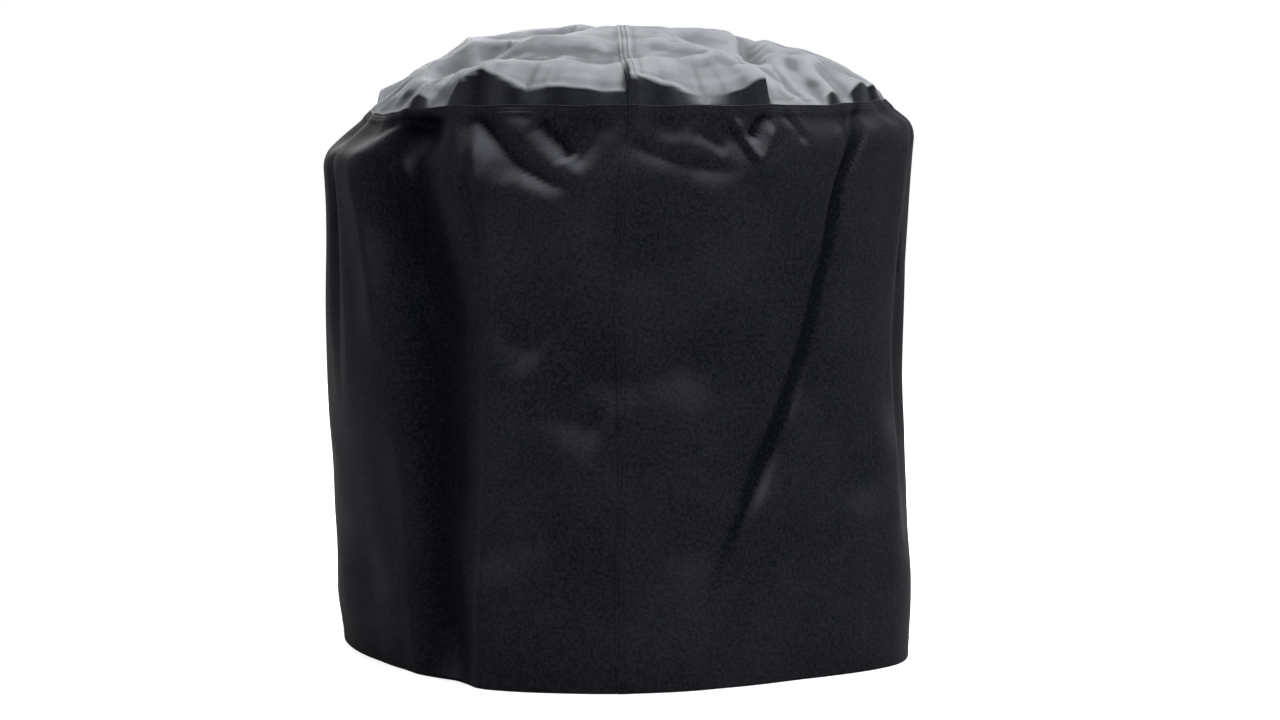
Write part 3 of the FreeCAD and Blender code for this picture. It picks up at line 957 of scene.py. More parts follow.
@dataclass
class CoverSurface:
    """The cover's outer surface: drape, crumpling and folds, at any place on the cut cloth.

    The calm values are the shares of the crumpling that are held back: below the rim, more so
    at its front, low on the skirt's front, and at the crown's edge.  The fall is the steep end
    of the crown's cloth before the rim.
    """

    drape: Drape
    crumple: CrumpledCloth
    crown_reach: float = 0.335
    skirt_length: float = 0.690
    rim_calm: float = 0.55
    front_calm: float = 0.15
    low_calm: float = 0.45
    rim_band: float = 0.045
    fold_start: float = 0.025
    foot_height: float = 0.50
    sag_reach: float = 0.20
    curl_height: float = 0.07
    lean: float = 0.040
    wander: float = 0.006
    fall_width: float = 0.028
    fall_start: float = 0.72
    fall_waves: tuple = (0.12, 0.055, 5)
    overhang: float = 0.004
    pleat: FoldField = field(init=False)
    skirt_folds: FoldField = field(init=False)
    crown_folds: FoldField = field(init=False)

    def __post_init__(self) -> None:
        """Works out the folds of the skirt and of the crown."""
        half = math.pi * self.drape.skirt_radius
        low, high = (-half, -0.01), (half, 0.70)
        self.pleat = FoldField(PLEAT, low, high)
        self.skirt_folds = FoldField(SKIRT_FOLDS, low, high, 2.0 * half)
        self.crown_folds = FoldField(CROWN_FOLDS, (-0.36, -0.36), (0.36, 0.36))

    def seam_wander(self, azimuth: np.ndarray, down: np.ndarray) -> np.ndarray:
        """How far round the front seam strays from the middle: its top leans to the right.

        Args:
            azimuth: azimuths on the cut cloth.
            down: lengths down from the rim.

        Returns:
            The angle at each place.
        """
        upper = 1.0 - smoothstep(0.0, 0.10, down)
        stray = self.lean * upper + self.wander * np.sin(down * 19.0)
        return bump(azimuth, 0.0, 0.35) * stray

    def spread(self, azimuth: np.ndarray, height: np.ndarray) -> np.ndarray:
        """How far the foot of the skirt stands out from a circle, less and less with height."""
        return hem_spread(azimuth) * (1.0 - smoothstep(0.02, self.foot_height, height))

    def skirt_raw(self, azimuth: np.ndarray, down: np.ndarray) -> np.ndarray:
        """Points on the skirt before any seam's thickness.

        Args:
            azimuth: azimuths on the cut cloth.
            down: lengths down from the rim.

        Returns:
            The point at each place.
        """
        azimuth = wrap(azimuth)
        share = np.clip(down / self.skirt_length, 0.0, 1.0)
        azimuth = azimuth + self.seam_wander(azimuth, down)
        point = self.drape.skirt_point(azimuth, share)
        height = point[..., 2]
        calm = self.rim_calm + self.front_calm * bump(azimuth, 0.15, 0.75)
        even = 1.0 - calm * (1.0 - smoothstep(0.0, self.rim_band, down))
        low = 1.0 - smoothstep(0.08, 0.34, height)
        even = even * (1.0 - self.low_calm * low * bump(azimuth, 0.1, 0.6))
        point = point + even[..., None] * self.crumple.skirt_offset(azimuth, share)
        folds = self.skirt_folds.at(azimuth * self.drape.skirt_radius, height)
        out = folds * smoothstep(0.0, self.fold_start, down) + self.spread(azimuth, height)
        curl = 1.0 - smoothstep(0.0, self.curl_height, height)
        out = out - depth_of(SKIRT_DENTS, azimuth, height) - depth_of(HEM_CURL, azimuth) * curl
        push_out(point, azimuth, out)
        upper = 1.0 - smoothstep(0.0, self.sag_reach, down)
        point[..., 2] -= depth_of(RIM_SAG, wrap(azimuth)) * upper
        return point

    def crown_raw(self, azimuth: np.ndarray, share: np.ndarray) -> np.ndarray:
        """Points on the crown before any seam's thickness.

        Args:
            azimuth: azimuths on the cut cloth.
            share: shares of the way to the rim.

        Returns:
            The point at each place.
        """
        azimuth = azimuth + share**2 * self.seam_wander(azimuth, np.zeros(azimuth.shape))
        point = self.drape.crown_point(azimuth, share)
        wrapped = wrap(azimuth)
        calm = self.rim_calm * smoothstep(0.74, 0.90, share)
        calm = calm + self.front_calm * bump(wrapped, 0.15, 0.75) * smoothstep(0.90, 0.99, share)
        point = point + (1.0 - calm)[..., None] * self.crumple.crown_offset(azimuth, share)
        folds = self.crown_folds.at(point[..., 0], point[..., 1])
        point[..., 2] += folds * (1.0 - smoothstep(0.80, 0.98, share))
        waves, pitch, seed = self.fall_waves
        drop = round_steps(RIM_DROP, np.degrees(azimuth))
        drop = drop * (1.0 + waves * wavy(wrapped * self.drape.skirt_radius, pitch, seed))
        edge = np.clip((share - self.fall_start) / 0.25, 0.0, 1.0)
        width = self.fall_width + depth_of(WIDER_FALLS, wrapped)
        fall = np.clip((share - 1.0 + width) / width, 0.0, 1.0)
        point[..., 2] += drop * edge**1.3 * (1.0 - fall**1.15)
        point[..., 2] -= depth_of(RIM_SAG, wrapped) * share**3
        point[..., 2] -= depth_of(CROWN_DENTS, wrapped, share)
        push_out(point, azimuth, self.overhang * np.minimum(drop / 0.02, 1.0) * edge * (1.0 - fall))
        return point

    def normals(
        self, raw: Callable, azimuth: np.ndarray, along: np.ndarray, step: float
    ) -> np.ndarray:
        """Outward normals of a raw surface, from points a short step away.

        Args:
            raw: skirt_raw or crown_raw.
            azimuth: azimuths on the cut cloth.
            along: the raw surface's second coordinates.
            step: how far away the other points are.

        Returns:
            One vector of length 1 for each place.
        """
        turn = step / 0.3
        across = raw(azimuth + turn, along) - raw(azimuth - turn, along)
        downwards = raw(azimuth, along + step) - raw(azimuth, along - step)
        normal = np.cross(downwards, across)
        return normal / np.maximum(np.linalg.norm(normal, axis=-1, keepdims=True), 1e-9)

    def skirt(self, azimuth: np.ndarray, down: np.ndarray, depth: np.ndarray) -> np.ndarray:
        """Points on the skirt at a depth under its outer surface."""
        normal = self.normals(self.skirt_raw, azimuth, np.maximum(down, 0.002), 0.002)
        return self.skirt_raw(azimuth, down) - normal * depth[..., None]

    def crown(self, azimuth: np.ndarray, share: np.ndarray, depth: np.ndarray) -> np.ndarray:
        """Points on the crown at a depth under its outer surface."""
        normal = self.normals(self.crown_raw, azimuth, np.clip(share, 0.02, 0.997), 0.003)
        return self.crown_raw(azimuth, share) - normal * depth[..., None]


# ---- how the cover is sewn ----------------------------------------------------------------
@dataclass(frozen=True)
class Sewing:
    """Cloth, seam and hem sizes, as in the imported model."""

    ply: float = 0.0006
    pitch: float = 0.0007
    turn_under: float = 0.010
    lap: float = 0.012
    rows: tuple = (0.003, 0.008)
    cell: float = 0.0037
    hem_height: float = 0.028
    hem_stitch: float = 0.024
    hem_bend: float = 0.0030
    hem_flat: float = 0.0040
    hem_closing: float = 0.014
    cord_radius: float = 0.0020
    cord_depth: float = 0.0053
    cord_height: float = 0.0027
    lap_end: tuple = (0.0105, 0.016)
    stitch_dip: float = 0.00025
    dip_reach: float = 0.0012
    thread_radius: float = 0.00034
    stitch_pitch: float = 0.0036

    @property
    def rise(self) -> float:
        """How far a folded edge stands over the ply that it is sewn on."""
        return 2.0 * self.pitch

    def lap_lift(self, inside: np.ndarray) -> np.ndarray:
        """How far a lapped seam lifts the cloth.

        Args:
            inside: distances into the folded panel, from its folded edge.

        Returns:
            The lift, which dips at each row of stitches.
        """
        lift = self.rise * (inside >= -1e-6) * (1.0 - smoothstep(*self.lap_end, inside))
        for row in self.rows:
            lift = lift - self.stitch_dip * bump(inside, row, self.dip_reach)
        return lift

    def folded_edge(self) -> list:
        """Lists the places across a folded edge.

        Returns:
            (distance in from the edge, depth under the top ply), from the turned end outwards.
        """
        p = self.pitch
        flap = [(x, p) for x in (self.turn_under, 0.0070, 0.0040, 0.0018, 0.0005)]
        bend = [(0.00015, 0.85 * p), (0.0, 0.5 * p), (0.00015, 0.15 * p)]
        sewn = (0.0005, 0.0014, 0.0022, 0.0030, 0.0038, 0.0055, 0.0072, 0.0080, 0.0088)
        return flap + bend + [(x, 0.0) for x in sewn + (0.0104, 0.0130, 0.0165)]

    def lapped_edge(self) -> list:
        """(distance in from the seam, depth) across an edge that runs under the other panel."""
        under = (-self.lap, -0.0088, -0.0080, -0.0072, -0.0050, -0.0038, -0.0030, -0.0022, -0.0010)
        return [(x, 0.0) for x in under + (0.0, 0.0010, 0.0030, 0.0060, 0.0100)]

    def hem(self) -> list:
        """Lists the places along the hem, down the wall, round the cord and up inside.

        Returns:
            (height, depth, turn), where the turn is how far the cloth has turned from
            hanging straight down.
        """
        low, r = 0.5 * self.ply, self.hem_bend
        wall = (0.036, 0.030, 0.0264, 0.024, 0.0216, 0.017, 0.012, 0.008, 0.005)
        path = [(z, 0.0, 0.0) for z in wall]
        for flat in (0.0, self.hem_flat):
            for step in range(5):
                turn = QUARTER * ((flat > 0.0) + step / 4.0)
                path.append((low + r - r * math.sin(turn), r + flat - r * math.cos(turn), turn))
        deep = 2.0 * r + self.hem_flat
        for step in range(1, 8):
            share = step / 7.0
            depth = deep + (self.pitch - deep) * share * share * (3.0 - 2.0 * share)
            path.append((low + r + share * self.hem_closing, depth, math.pi))
        return path + [(z, self.pitch, math.pi) for z in (0.0216, 0.024, 0.0262, self.hem_height)]


SEWING = Sewing()


def seam_insides(azimuth: np.ndarray, radius: float) -> np.ndarray:
    """How far places are inside the right-hand panel, from the nearer of the two upright seams.

    Args:
        azimuth: azimuths on the cut cloth.
        radius: the radius at which the seams are sewn.

    Returns:
        The distance at each place, negative on the left-hand panel.
    """
    wrapped = wrap(azimuth)
    distance = np.minimum(np.abs(wrapped), math.pi - np.abs(wrapped)) * radius
    return np.where(wrapped > 0.0, distance, -distance)


@dataclass
class Tailor:
    """Places each ply of the sewn cover on the crumpled surface."""

    surface: CoverSurface
    seam_radius: float = 0.345
    lowest: float = 0.0008

    def skirt(self, azimuth: np.ndarray, down: np.ndarray, ply_depth: np.ndarray) -> np.ndarray:
        """Points in a ply of the skirt.

        Args:
            azimuth: azimuths on the cut cloth.
            down: lengths down from the rim.
            ply_depth: depths of the ply under the top one.

        Returns:
            The middle of the ply at each place.
        """
        lift = SEWING.lap_lift(seam_insides(azimuth, self.seam_radius)) + SEWING.lap_lift(down)
        point = self.surface.skirt(azimuth, down, ply_depth + 0.5 * SEWING.ply - lift)
        point[..., 2] = np.maximum(point[..., 2], self.lowest)
        return point

    def crown(self, azimuth: np.ndarray, share: np.ndarray, ply_depth: np.ndarray) -> np.ndarray:
        """Points in a ply of the crown, which runs on under the skirt past the rim.

        Args:
            azimuth: azimuths on the cut cloth.
            share: shares of the way to the rim, past 1 under the skirt.
            ply_depth: depths of the ply under the top one.

        Returns:
            The middle of the ply at each place.
        """
        reach = self.surface.crown_reach
        inside = share * reach * np.sin(azimuth)
        depth = ply_depth + 0.5 * SEWING.ply - SEWING.lap_lift(inside)
        top = self.surface.crown(azimuth, np.minimum(share, 1.0), depth)
        down = np.clip((share - 1.0) * reach, 0.0, None)
        dip = SEWING.lap_lift(down) - SEWING.rise
        under = self.surface.skirt(azimuth, down, depth - np.where(down > 0.0, dip, 0.0))
        return np.where((share > 1.0)[..., None], under, top)


class Side(Enum):
    """The two halves that the crown and the skirt are each cut in."""

    LEFT = -1.0
    RIGHT = 1.0


def add_grid(
    name: str, points: np.ndarray, flat: np.ndarray, pale: np.ndarray
) -> bpy.types.Object:
    """Makes a grid mesh through a block of points.

    Args:
        name: the piece's name.
        points: rows by columns by 3.
        flat: each point's place on the cut cloth, for the weave, rows by columns by 2.
        pale: how pale each point is painted, from 0 to 1: painted light and shade, partly sun-fade.

    Returns:
        The new piece.
    """
    deselect()
    rows, columns = points.shape[:2]
    bpy.ops.mesh.primitive_grid_add(x_subdivisions=columns - 1, y_subdivisions=rows - 1, size=2.0)
    piece = named(name)
    move_vertices(piece, points.reshape(-1, 3))
    corners = np.empty(len(piece.data.loops), dtype=np.int64)
    piece.data.loops.foreach_get("vertex_index", corners)
    piece.data.uv_layers[0].data.foreach_set("uv", flat.reshape(-1, 2)[corners].ravel())
    # This attribute carries painted sheen and shade, and on the crown partly sun-fade.
    layer = piece.data.attributes.new("painted_light_and_fade", "FLOAT", "POINT")
    layer.data.foreach_set("value", np.ascontiguousarray(pale, dtype=np.float32).ravel())
    return piece


def thicken(piece: bpy.types.Object) -> None:
    """Gives a sheet the cloth's thickness.

    Args:
        piece: the sheet, through the middle of the cloth.
    """
    shell = piece.modifiers.new("Ply", "SOLIDIFY")
    shell.thickness = SEWING.ply
    shell.offset = 0.0
    close_shell(piece)
    LOG.info("%s: %d faces", piece.name, len(piece.data.polygons))


def faces_up(points: np.ndarray) -> np.ndarray:
    """Works out how far a grid that goes round the cover faces up.

    Args:
        points: rows by columns by 3.

    Returns:
        The upward part of the outward normal at each point.
    """
    normal = np.cross(np.gradient(points, axis=0), np.gradient(points, axis=1))
    normal /= np.maximum(np.linalg.norm(normal, axis=-1, keepdims=True), 1e-12)
    outwards = np.sum(normal[..., :2] * points[..., :2], axis=-1)
    return np.where(outwards < 0.0, -normal[..., 2], normal[..., 2])


@dataclass
class SkirtPanel:
    """One half of the skirt: folded or lapped at its seams, with a turned top and a hem.

    The cells are small over the front's share of the panel.  Its pale colour is painted light:
    painted sheen where the cloth stands proud and more so where it faces up, and painted shade,
    near black, in grooves and in the pleat; each range is where that grows from nothing to all.
    """

    side: Side
    tailor: Tailor
    front_share: float = 0.42
    proud_painted_sheen: float = 0.094
    proud_range: tuple = (-0.024, 0.004)
    upward_painted_sheen: float = 0.86
    upward_range: tuple = (0.060, 0.52)
    groove_range: tuple = (-0.005, -0.0008)
    pleat_range: tuple = (-0.0030, -0.0001)

    def columns(self) -> tuple:
        """Lists the places across the panel, from the front seam to the back seam.

        Returns:
            The azimuths, and how deep each one's ply lies at the seams.
        """
        edge = SEWING.folded_edge() if self.side is Side.RIGHT else SEWING.lapped_edge()
        first = np.array(edge)
        half = math.pi * self.tailor.seam_radius
        last = first[-1, 0]
        front = np.arange(last + SEWING.cell, self.front_share * half, SEWING.cell)
        steps = 1 + int((half - last - front[-1]) / (2.0 * SEWING.cell))
        middle = np.concatenate([front, np.linspace(front[-1], half - last, steps + 1)[1:-1]])
        place = np.concatenate([first[:, 0], middle, half - first[::-1, 0]])
        depth = np.concatenate([first[:, 1], np.zeros(len(middle)), first[::-1, 1]])
        return self.side.value * place / self.tailor.seam_radius, depth

    def rows(self) -> np.ndarray:
        """Lists the places down the panel, from the turned top to the end of the hem.

        Returns:
            Rows of (down, depth, inward part across, inward part down).
        """
        length = self.tailor.surface.skirt_length
        top = [(down, depth, 1.0, 0.0) for down, depth in SEWING.folded_edge()]
        hem = [
            (length - z, depth, math.cos(turn), -math.sin(turn)) for z, depth, turn in SEWING.hem()
        ]
        count = int(round((hem[0][0] - top[-1][0]) / (1.1 * SEWING.cell)))
        middle = np.linspace(top[-1][0], hem[0][0], count + 1)[1:-1]
        return np.array(top + [(down, 0.0, 1.0, 0.0) for down in middle] + hem)

    def painted_light_and_fade(self, points: np.ndarray, azimuth: np.ndarray, down: np.ndarray) -> np.ndarray:
        """Works out the skirt's painted light: sheen where the cloth stands out and up, shade in
        grooves.

        Args:
            points: the panel's points.
            azimuth: their azimuths on the cut cloth.
            down: their lengths down from the rim.

        Returns:
            The paleness at each point, from 0 to 1, which is painted light and shade.
        """
        surface = self.tailor.surface
        share = np.clip(down / surface.skirt_length, 0.0, 1.0)
        plain = surface.drape.skirt_point(azimuth, share)
        turned = faces_up(points) - faces_up(plain)
        reach = np.hypot(points[..., 0], points[..., 1])
        spread = surface.spread(azimuth, plain[..., 2])
        proud = reach - np.hypot(plain[..., 0], plain[..., 1]) - spread
        pleat = surface.pleat.at(azimuth * surface.drape.skirt_radius, points[..., 2])
        # Painted sheen where the cloth stands proud of the plain drape; its hollows stay darker.
        pale = self.proud_painted_sheen * smoothstep(*self.proud_range, proud)
        # Painted sheen where the cloth is turned up more than the plain drape, as if lit from
        # above.
        pale = pale + self.upward_painted_sheen * smoothstep(*self.upward_range, turned)
        # Painted shade: the grooves go near black.
        pale = pale * smoothstep(*self.groove_range, relief(reach, 12))
        # Painted shade: the long pleat's groove goes black.
        return pale * smoothstep(*self.pleat_range, pleat)

    def build(self) -> bpy.types.Object:
        """Makes the panel.

        Returns:
            The finished piece.
        """
        azimuth, edge_depth = self.columns()
        rows = self.rows()
        shape = (len(rows), len(azimuth))
        azimuth = np.broadcast_to(azimuth, shape)
        inner = np.broadcast_to(edge_depth, shape)
        down = rows[:, :1] + inner * rows[:, 3:4]
        depth = rows[:, 1:2] + inner * rows[:, 2:3]
        points = self.tailor.skirt(azimuth, down, depth)
        run = np.concatenate([[0.0], np.cumsum(np.hypot(*np.diff(rows[:, :2], axis=0).T))])
        along = np.broadcast_to(-run[:, None], shape)
        flat = np.stack([azimuth * self.tailor.seam_radius, along], axis=-1)
        name = f"skirt_{self.side.name.lower()}_cloth"
        piece = add_grid(name, points, flat, self.painted_light_and_fade(points, azimuth, down))
        thicken(piece)
        return piece


@dataclass
class CrownPanel:
    """One half of the crown: folded or lapped at the middle seam, its rim under the skirt.

    The cells are even up to a share of the way to the rim, and finer past it.  Its pale colour is
    painted sheen and partly sun-fade, with painted highlights on creases and painted shade in dips.
    """

    side: Side
    tailor: Tailor
    cells: int = 100
    even_share: float = 0.974
    usual_sheen_and_fade: float = 0.78
    least_sheen_and_fade: float = 0.56
    broad_crease: float = 0.006
    crisp_crease: float = 0.0022

    def painted_light_and_fade(self, height: np.ndarray) -> np.ndarray:
        """Paleness at each height of a grid, from 0 to 1, with painted highlights and painted
        shade.
        """
        # Painted highlights on the ridges and painted shade in the dips, round the usual paleness.
        broad = relief(height, 10) / self.broad_crease
        crisp = relief(height, 3) / self.crisp_crease
        return np.clip(self.usual_sheen_and_fade + broad + crisp, self.least_sheen_and_fade, 1.0)

    def build(self) -> bpy.types.Object:
        """Makes the panel.

        Returns:
            The finished piece.
        """
        reach = self.tailor.surface.crown_reach
        edge = np.array(SEWING.folded_edge() if self.side is Side.RIGHT else SEWING.lapped_edge())
        first = edge[:, 0] / reach * 4.0 / math.pi
        sewn = (0.0022, 0.0030, 0.0038, 0.0055, 0.0072, 0.0080, 0.0088, SEWING.lap)
        under = 1.0 + np.array(sewn) / reach
        middle = np.linspace(first[-1], 1.0, self.cells + 1)[1:-1]
        rim = np.array([0.9760, 0.9795, 0.9830, 0.9865, 0.9900, 0.9935, 0.9970, 1.0])
        s = np.concatenate([first, middle[middle < self.even_share], rim, under])
        depth = np.concatenate([edge[:, 1], np.zeros(len(s) - len(first))])
        inner = np.linspace(-1.0, 1.0, 2 * self.cells + 1)
        inner = inner[np.abs(inner) < self.even_share]
        t = np.concatenate([-under[::-1], -rim[::-1], inner, rim, under])
        grid_t, grid_s = np.meshgrid(t, self.side.value * s, indexing="ij")
        azimuth, share = round_place(grid_s, grid_t)
        points = self.tailor.crown(azimuth, share, np.broadcast_to(depth, azimuth.shape))
        height = points[..., 2]
        flat = round_point(share * reach, azimuth, height)[..., :2]
        name = f"crown_{self.side.name.lower()}_cloth"
        piece = add_grid(name, points, flat, self.painted_light_and_fade(height))
        thicken(piece)
        return piece


# ---- stitches, cord and ferrule -----------------------------------------------------------
def add_path(name: str, points: np.ndarray, closed: bool) -> bpy.types.Object:
    """Makes a curve through points.

    Args:
        name: the curve's name.
        points: one row per point.
        closed: True where the last point joins the first.

    Returns:
        The new curve.
    """
    deselect()
    bpy.ops.curve.primitive_nurbs_path_add()
    path = named(name)
    curve = path.data
    curve.splines.clear()
    spline = curve.splines.new("POLY")
    spline.points.add(len(points) - 1)
    spline.points.foreach_set("co", np.column_stack([points, np.ones(len(points))]).ravel())
    spline.use_cyclic_u = closed
    curve.dimensions = "3D"
    return path


@dataclass
class ThreadRow:
    """One row of lockstitch thread on one face of the cloth.

    Each stitch fills a share of the stitch pitch.
    """

    name: str
    points: np.ndarray
    closed: bool
    stitch_share: float = 0.82

    def build(self) -> bpy.types.Object:
        """Lays one modelled stitch along the row.

        Returns:
            The finished row.
        """
        path = add_path(f"{self.name}_path", self.points, self.closed)
        deselect()
        bpy.ops.mesh.primitive_uv_sphere_add(segments=6, ring_count=4, radius=1.0)
        stitch = named(self.name)
        half = 0.5 * self.stitch_share * SEWING.stitch_pitch
        bpy.ops.transform.rotate(value=QUARTER, orient_axis="Y", center_override=ORIGIN)
        bpy.ops.object.transform_apply(location=False, rotation=True, scale=False)
        bpy.ops.transform.resize(value=(half, SEWING.thread_radius, SEWING.thread_radius))
        bpy.ops.object.transform_apply(location=False, rotation=False, scale=True)
        along = stitch.modifiers.new("Row", "ARRAY")
        along.fit_type = "FIT_CURVE"
        along.curve = path
        along.relative_offset_displace = (SEWING.stitch_pitch / (2.0 * half), 0.0, 0.0)
        bend = stitch.modifiers.new("Follow", "CURVE")
        bend.object = path
        bend.deform_axis = "POS_X"
        apply_modifiers(stitch)
        bpy.ops.object.shade_smooth()
        bpy.data.objects.remove(path, do_unlink=True)
        return stitch


@dataclass
class StitchPlan:
    """Works out where every row of stitches runs.

    An upright row starts below the rim seam and ends above the hem's fold, and the crown's
    rows end just inside the rim.
    """

    tailor: Tailor
    step: float = 0.003
    below_rim: float = 0.0135
    above_fold: float = 0.004
    inside_rim: float = 0.002

    def faces(self, under: float, proud: float) -> tuple:
        """(name, depth) of the thread on the top ply and, standing proud, under the last ply."""
        half = 0.5 * SEWING.ply
        return (("needle", -half - 0.0001), ("bobbin", under + half + proud))

    def seam(self, name: str, line: Callable, closed: bool = False) -> list:
        """Plans the two rows of a seam, on both faces of the cloth.

        Args:
            name: the seam's name.
            line: gives a row's points from its distance inside the edge and its depth.
            closed: True where the rows run right round.

        Returns:
            The four rows.
        """
        return [
            ThreadRow(f"{name}_{row}_{face}_stitches", line(inside, depth), closed)
            for row, inside in zip(("edge", "inner"), SEWING.rows)
            for face, depth in self.faces(2.0 * SEWING.pitch, 0.0002)
        ]

    def front_line(self, inside: float, depth: float) -> np.ndarray:
        """Points of a row of the front seam."""
        return self.upright_line(inside / self.tailor.seam_radius, depth)

    def back_line(self, inside: float, depth: float) -> np.ndarray:
        """Points of a row of the back seam."""
        return self.upright_line(math.pi - inside / self.tailor.seam_radius, depth)

    def upright_line(self, azimuth: float, depth: float) -> np.ndarray:
        """Works out an upright row, from under the rim seam to the hem.

        Args:
            azimuth: the row's azimuth on the cut cloth.
            depth: how deep the thread lies.

        Returns:
            The row's points, from top to bottom.
        """
        end = self.tailor.surface.skirt_length - self.above_fold
        down = np.arange(self.below_rim, end, self.step)
        return self.tailor.skirt(np.full_like(down, azimuth), down, np.full_like(down, depth))

    def round_line(self, down: float, depth: float, count: int = 720) -> np.ndarray:
        """Points of a row that runs round the skirt."""
        azimuth = np.linspace(0.0, TURN, count, endpoint=False)
        return self.tailor.skirt(azimuth, np.full_like(azimuth, down), np.full_like(azimuth, depth))

    def crown_line(self, inside: float, depth: float) -> np.ndarray:
        """Works out a row of the seam across the middle of the crown.

        Args:
            inside: how far inside the folded edge the row runs.
            depth: how deep the thread lies.

        Returns:
            The row's points, from front to back.
        """
        reach = self.tailor.surface.crown_reach
        y = np.arange(-reach + self.inside_rim, reach - self.inside_rim, self.step)
        share = np.hypot(inside, y) / reach
        return self.tailor.crown(np.arctan2(inside, -y), share, np.full_like(y, depth))

    def hem(self) -> list:
        """Plans the row round the hem, through its two plies.

        Returns:
            The row on each face.
        """
        down = self.tailor.surface.skirt_length - SEWING.hem_stitch
        return [
            ThreadRow(f"hem_{face}_stitches", self.round_line(down, depth, 800), True)
            for face, depth in self.faces(SEWING.pitch, 0.0001)
        ]

    def build(self) -> dict:
        """Makes every row.

        Returns:
            The rows, by the CAD node that each one stands for.
        """
        rows = self.seam("front_seam", self.front_line) + self.seam("back_seam", self.back_line)
        rows += self.seam("rim_seam", self.round_line, True)
        rows += self.seam("crown_seam", self.crown_line) + self.hem()
        made = {row.name.replace("_stitches", "_thread"): row.build() for row in rows}
        faces = sum(len(piece.data.polygons) for piece in made.values())
        LOG.info("stitches: %d rows, %d faces", len(made), faces)
        return made


@dataclass
class HemElastic:
    """The elastic cord in the hem, and the ferrule that joins its ends at the back."""

    tailor: Tailor
    radius: float = 0.3497
    gap: float = 0.001
    ferrule_length: float = 0.014
    ferrule_wall: float = 0.0005
    ferrule_steps: int = 14
    clearance: float = 0.0001
    crimp: float = 0.035
    rounding: float = 0.00012

    def centre(self, azimuth: np.ndarray) -> np.ndarray:
        """Works out the middle line of the cord, clear of the cloth under it.

        Args:
            azimuth: azimuths on the cut cloth.

        Returns:
            The point at each one.
        """
        down = np.full(azimuth.shape, self.tailor.surface.skirt_length - SEWING.cord_height)
        depth = np.full(azimuth.shape, SEWING.cord_depth)
        points = self.tailor.surface.skirt(azimuth, down, depth)
        points[:, 2] = np.maximum(points[:, 2], SEWING.cord_height)
        return points

    def build_cord(self) -> bpy.types.Object:
        """Draws the cord round the hem, with its two ends close together at the back.

        Returns:
            The finished cord.
        """
        short = 0.5 * self.gap / self.radius
        azimuth = np.linspace(-math.pi + short, math.pi - short, 600)
        cord = add_path("hem_elastic", self.centre(azimuth), False)
        cord.data.bevel_depth = SEWING.cord_radius
        cord.data.bevel_resolution = 3
        cord.data.use_fill_caps = True
        only(cord)
        bpy.ops.object.convert(target="MESH")
        bpy.ops.object.shade_smooth()
        return named("hem_elastic")

    def build_ferrule(self) -> bpy.types.Object:
        """Draws out a tube, narrows it where it is crimped and sets it over the cord's ends.

        Returns:
            The finished ferrule.
        """
        deselect()
        outer = SEWING.cord_radius + self.clearance + self.ferrule_wall
        bpy.ops.mesh.primitive_circle_add(vertices=24, radius=outer)
        ferrule = named("hem_ferrule")
        step = self.ferrule_length / self.ferrule_steps
        with editing():
            bpy.ops.mesh.select_all(action="SELECT")
            for _ in range(self.ferrule_steps):
                bpy.ops.mesh.extrude_region_move(TRANSFORM_OT_translate={"value": (0.0, 0.0, step)})
        across, up, along = positions(ferrule).T
        share = along / self.ferrule_length
        narrow = 1.0 - self.crimp * (bump(share, 0.25, 0.06) + bump(share, 0.75, 0.06))
        points = [along - 0.5 * self.ferrule_length, across * narrow, up * narrow]
        move_vertices(ferrule, np.column_stack(points) + self.centre(np.array([math.pi]))[0])
        wall = ferrule.modifiers.new("Wall", "SOLIDIFY")
        wall.thickness = self.ferrule_wall
        wall.offset = -1.0
        round_off = ferrule.modifiers.new("Rounding", "BEVEL")
        round_off.width = self.rounding
        round_off.segments = 2
        close_shell(ferrule)
        return ferrule


# ---- finishes -----------------------------------------------------------------------------
def new_material(name: str) -> tuple:
    """Makes a material that has only a Principled BSDF.

    Args:
        name: the material's name.

    Returns:
        The material, its node tree and its shader.
    """
    material = bpy.data.materials.new(name)
    material.use_nodes = True
    tree = material.node_tree
    return material, tree, tree.nodes["Principled BSDF"]


def fill(tree: bpy.types.NodeTree, node: bpy.types.Node, inputs: dict) -> None:
    """Sets a node's inputs.

    Args:
        tree: the node tree.
        node: the node.
        inputs: for each input, by name or number, a value or another node's socket.
    """
    for name, value in inputs.items():
        if isinstance(value, bpy.types.NodeSocket):
            tree.links.new(value, node.inputs[name])
        else:
            node.inputs[name].default_value = value


def add_node(tree: bpy.types.NodeTree, kind: str, inputs: dict, output: str | int = 0,
             **settings: str | bool) -> bpy.types.NodeSocket:
    """Adds a shader node.

    Args:
        tree: the node tree.
        kind: the node's type, without the ShaderNode that every type starts with.
        inputs: for each input, a value or another node's socket.
        output: the output that is wanted.
        settings: the node's own properties.

    Returns:
        The output's socket.
    """
    node = tree.nodes.new(f"ShaderNode{kind}")
    for name, value in settings.items():
        setattr(node, name, value)
    fill(tree, node, inputs)
    return node.outputs[output]


def add_noise(tree: bpy.types.NodeTree, place: bpy.types.NodeSocket, scale: float,
              **more: float) -> bpy.types.NodeSocket:
    """Adds a noise texture, and returns its strength."""
    return add_node(tree, "TexNoise", {"Scale": scale, "Vector": place, **more}, "Fac")


def add_spread(tree: bpy.types.NodeTree, noise: bpy.types.NodeSocket, low: float,
               high: float) -> bpy.types.NodeSocket:
    """Stretches the middle values of a noise from low to high."""
    inputs = {"From Min": 0.30, "From Max": 0.70, "To Min": low, "To Max": high, "Value": noise}
    return add_node(tree, "MapRange", inputs, "Result")


def add_bump(tree: bpy.types.NodeTree, height: bpy.types.NodeSocket, strength: float,
             distance: float, **more: bpy.types.NodeSocket) -> bpy.types.NodeSocket:
    """Adds a bump that follows a height, and returns its normals."""
    inputs = {"Strength": strength, "Distance": distance, "Height": height, **more}
    return add_node(tree, "Bump", inputs, "Normal")


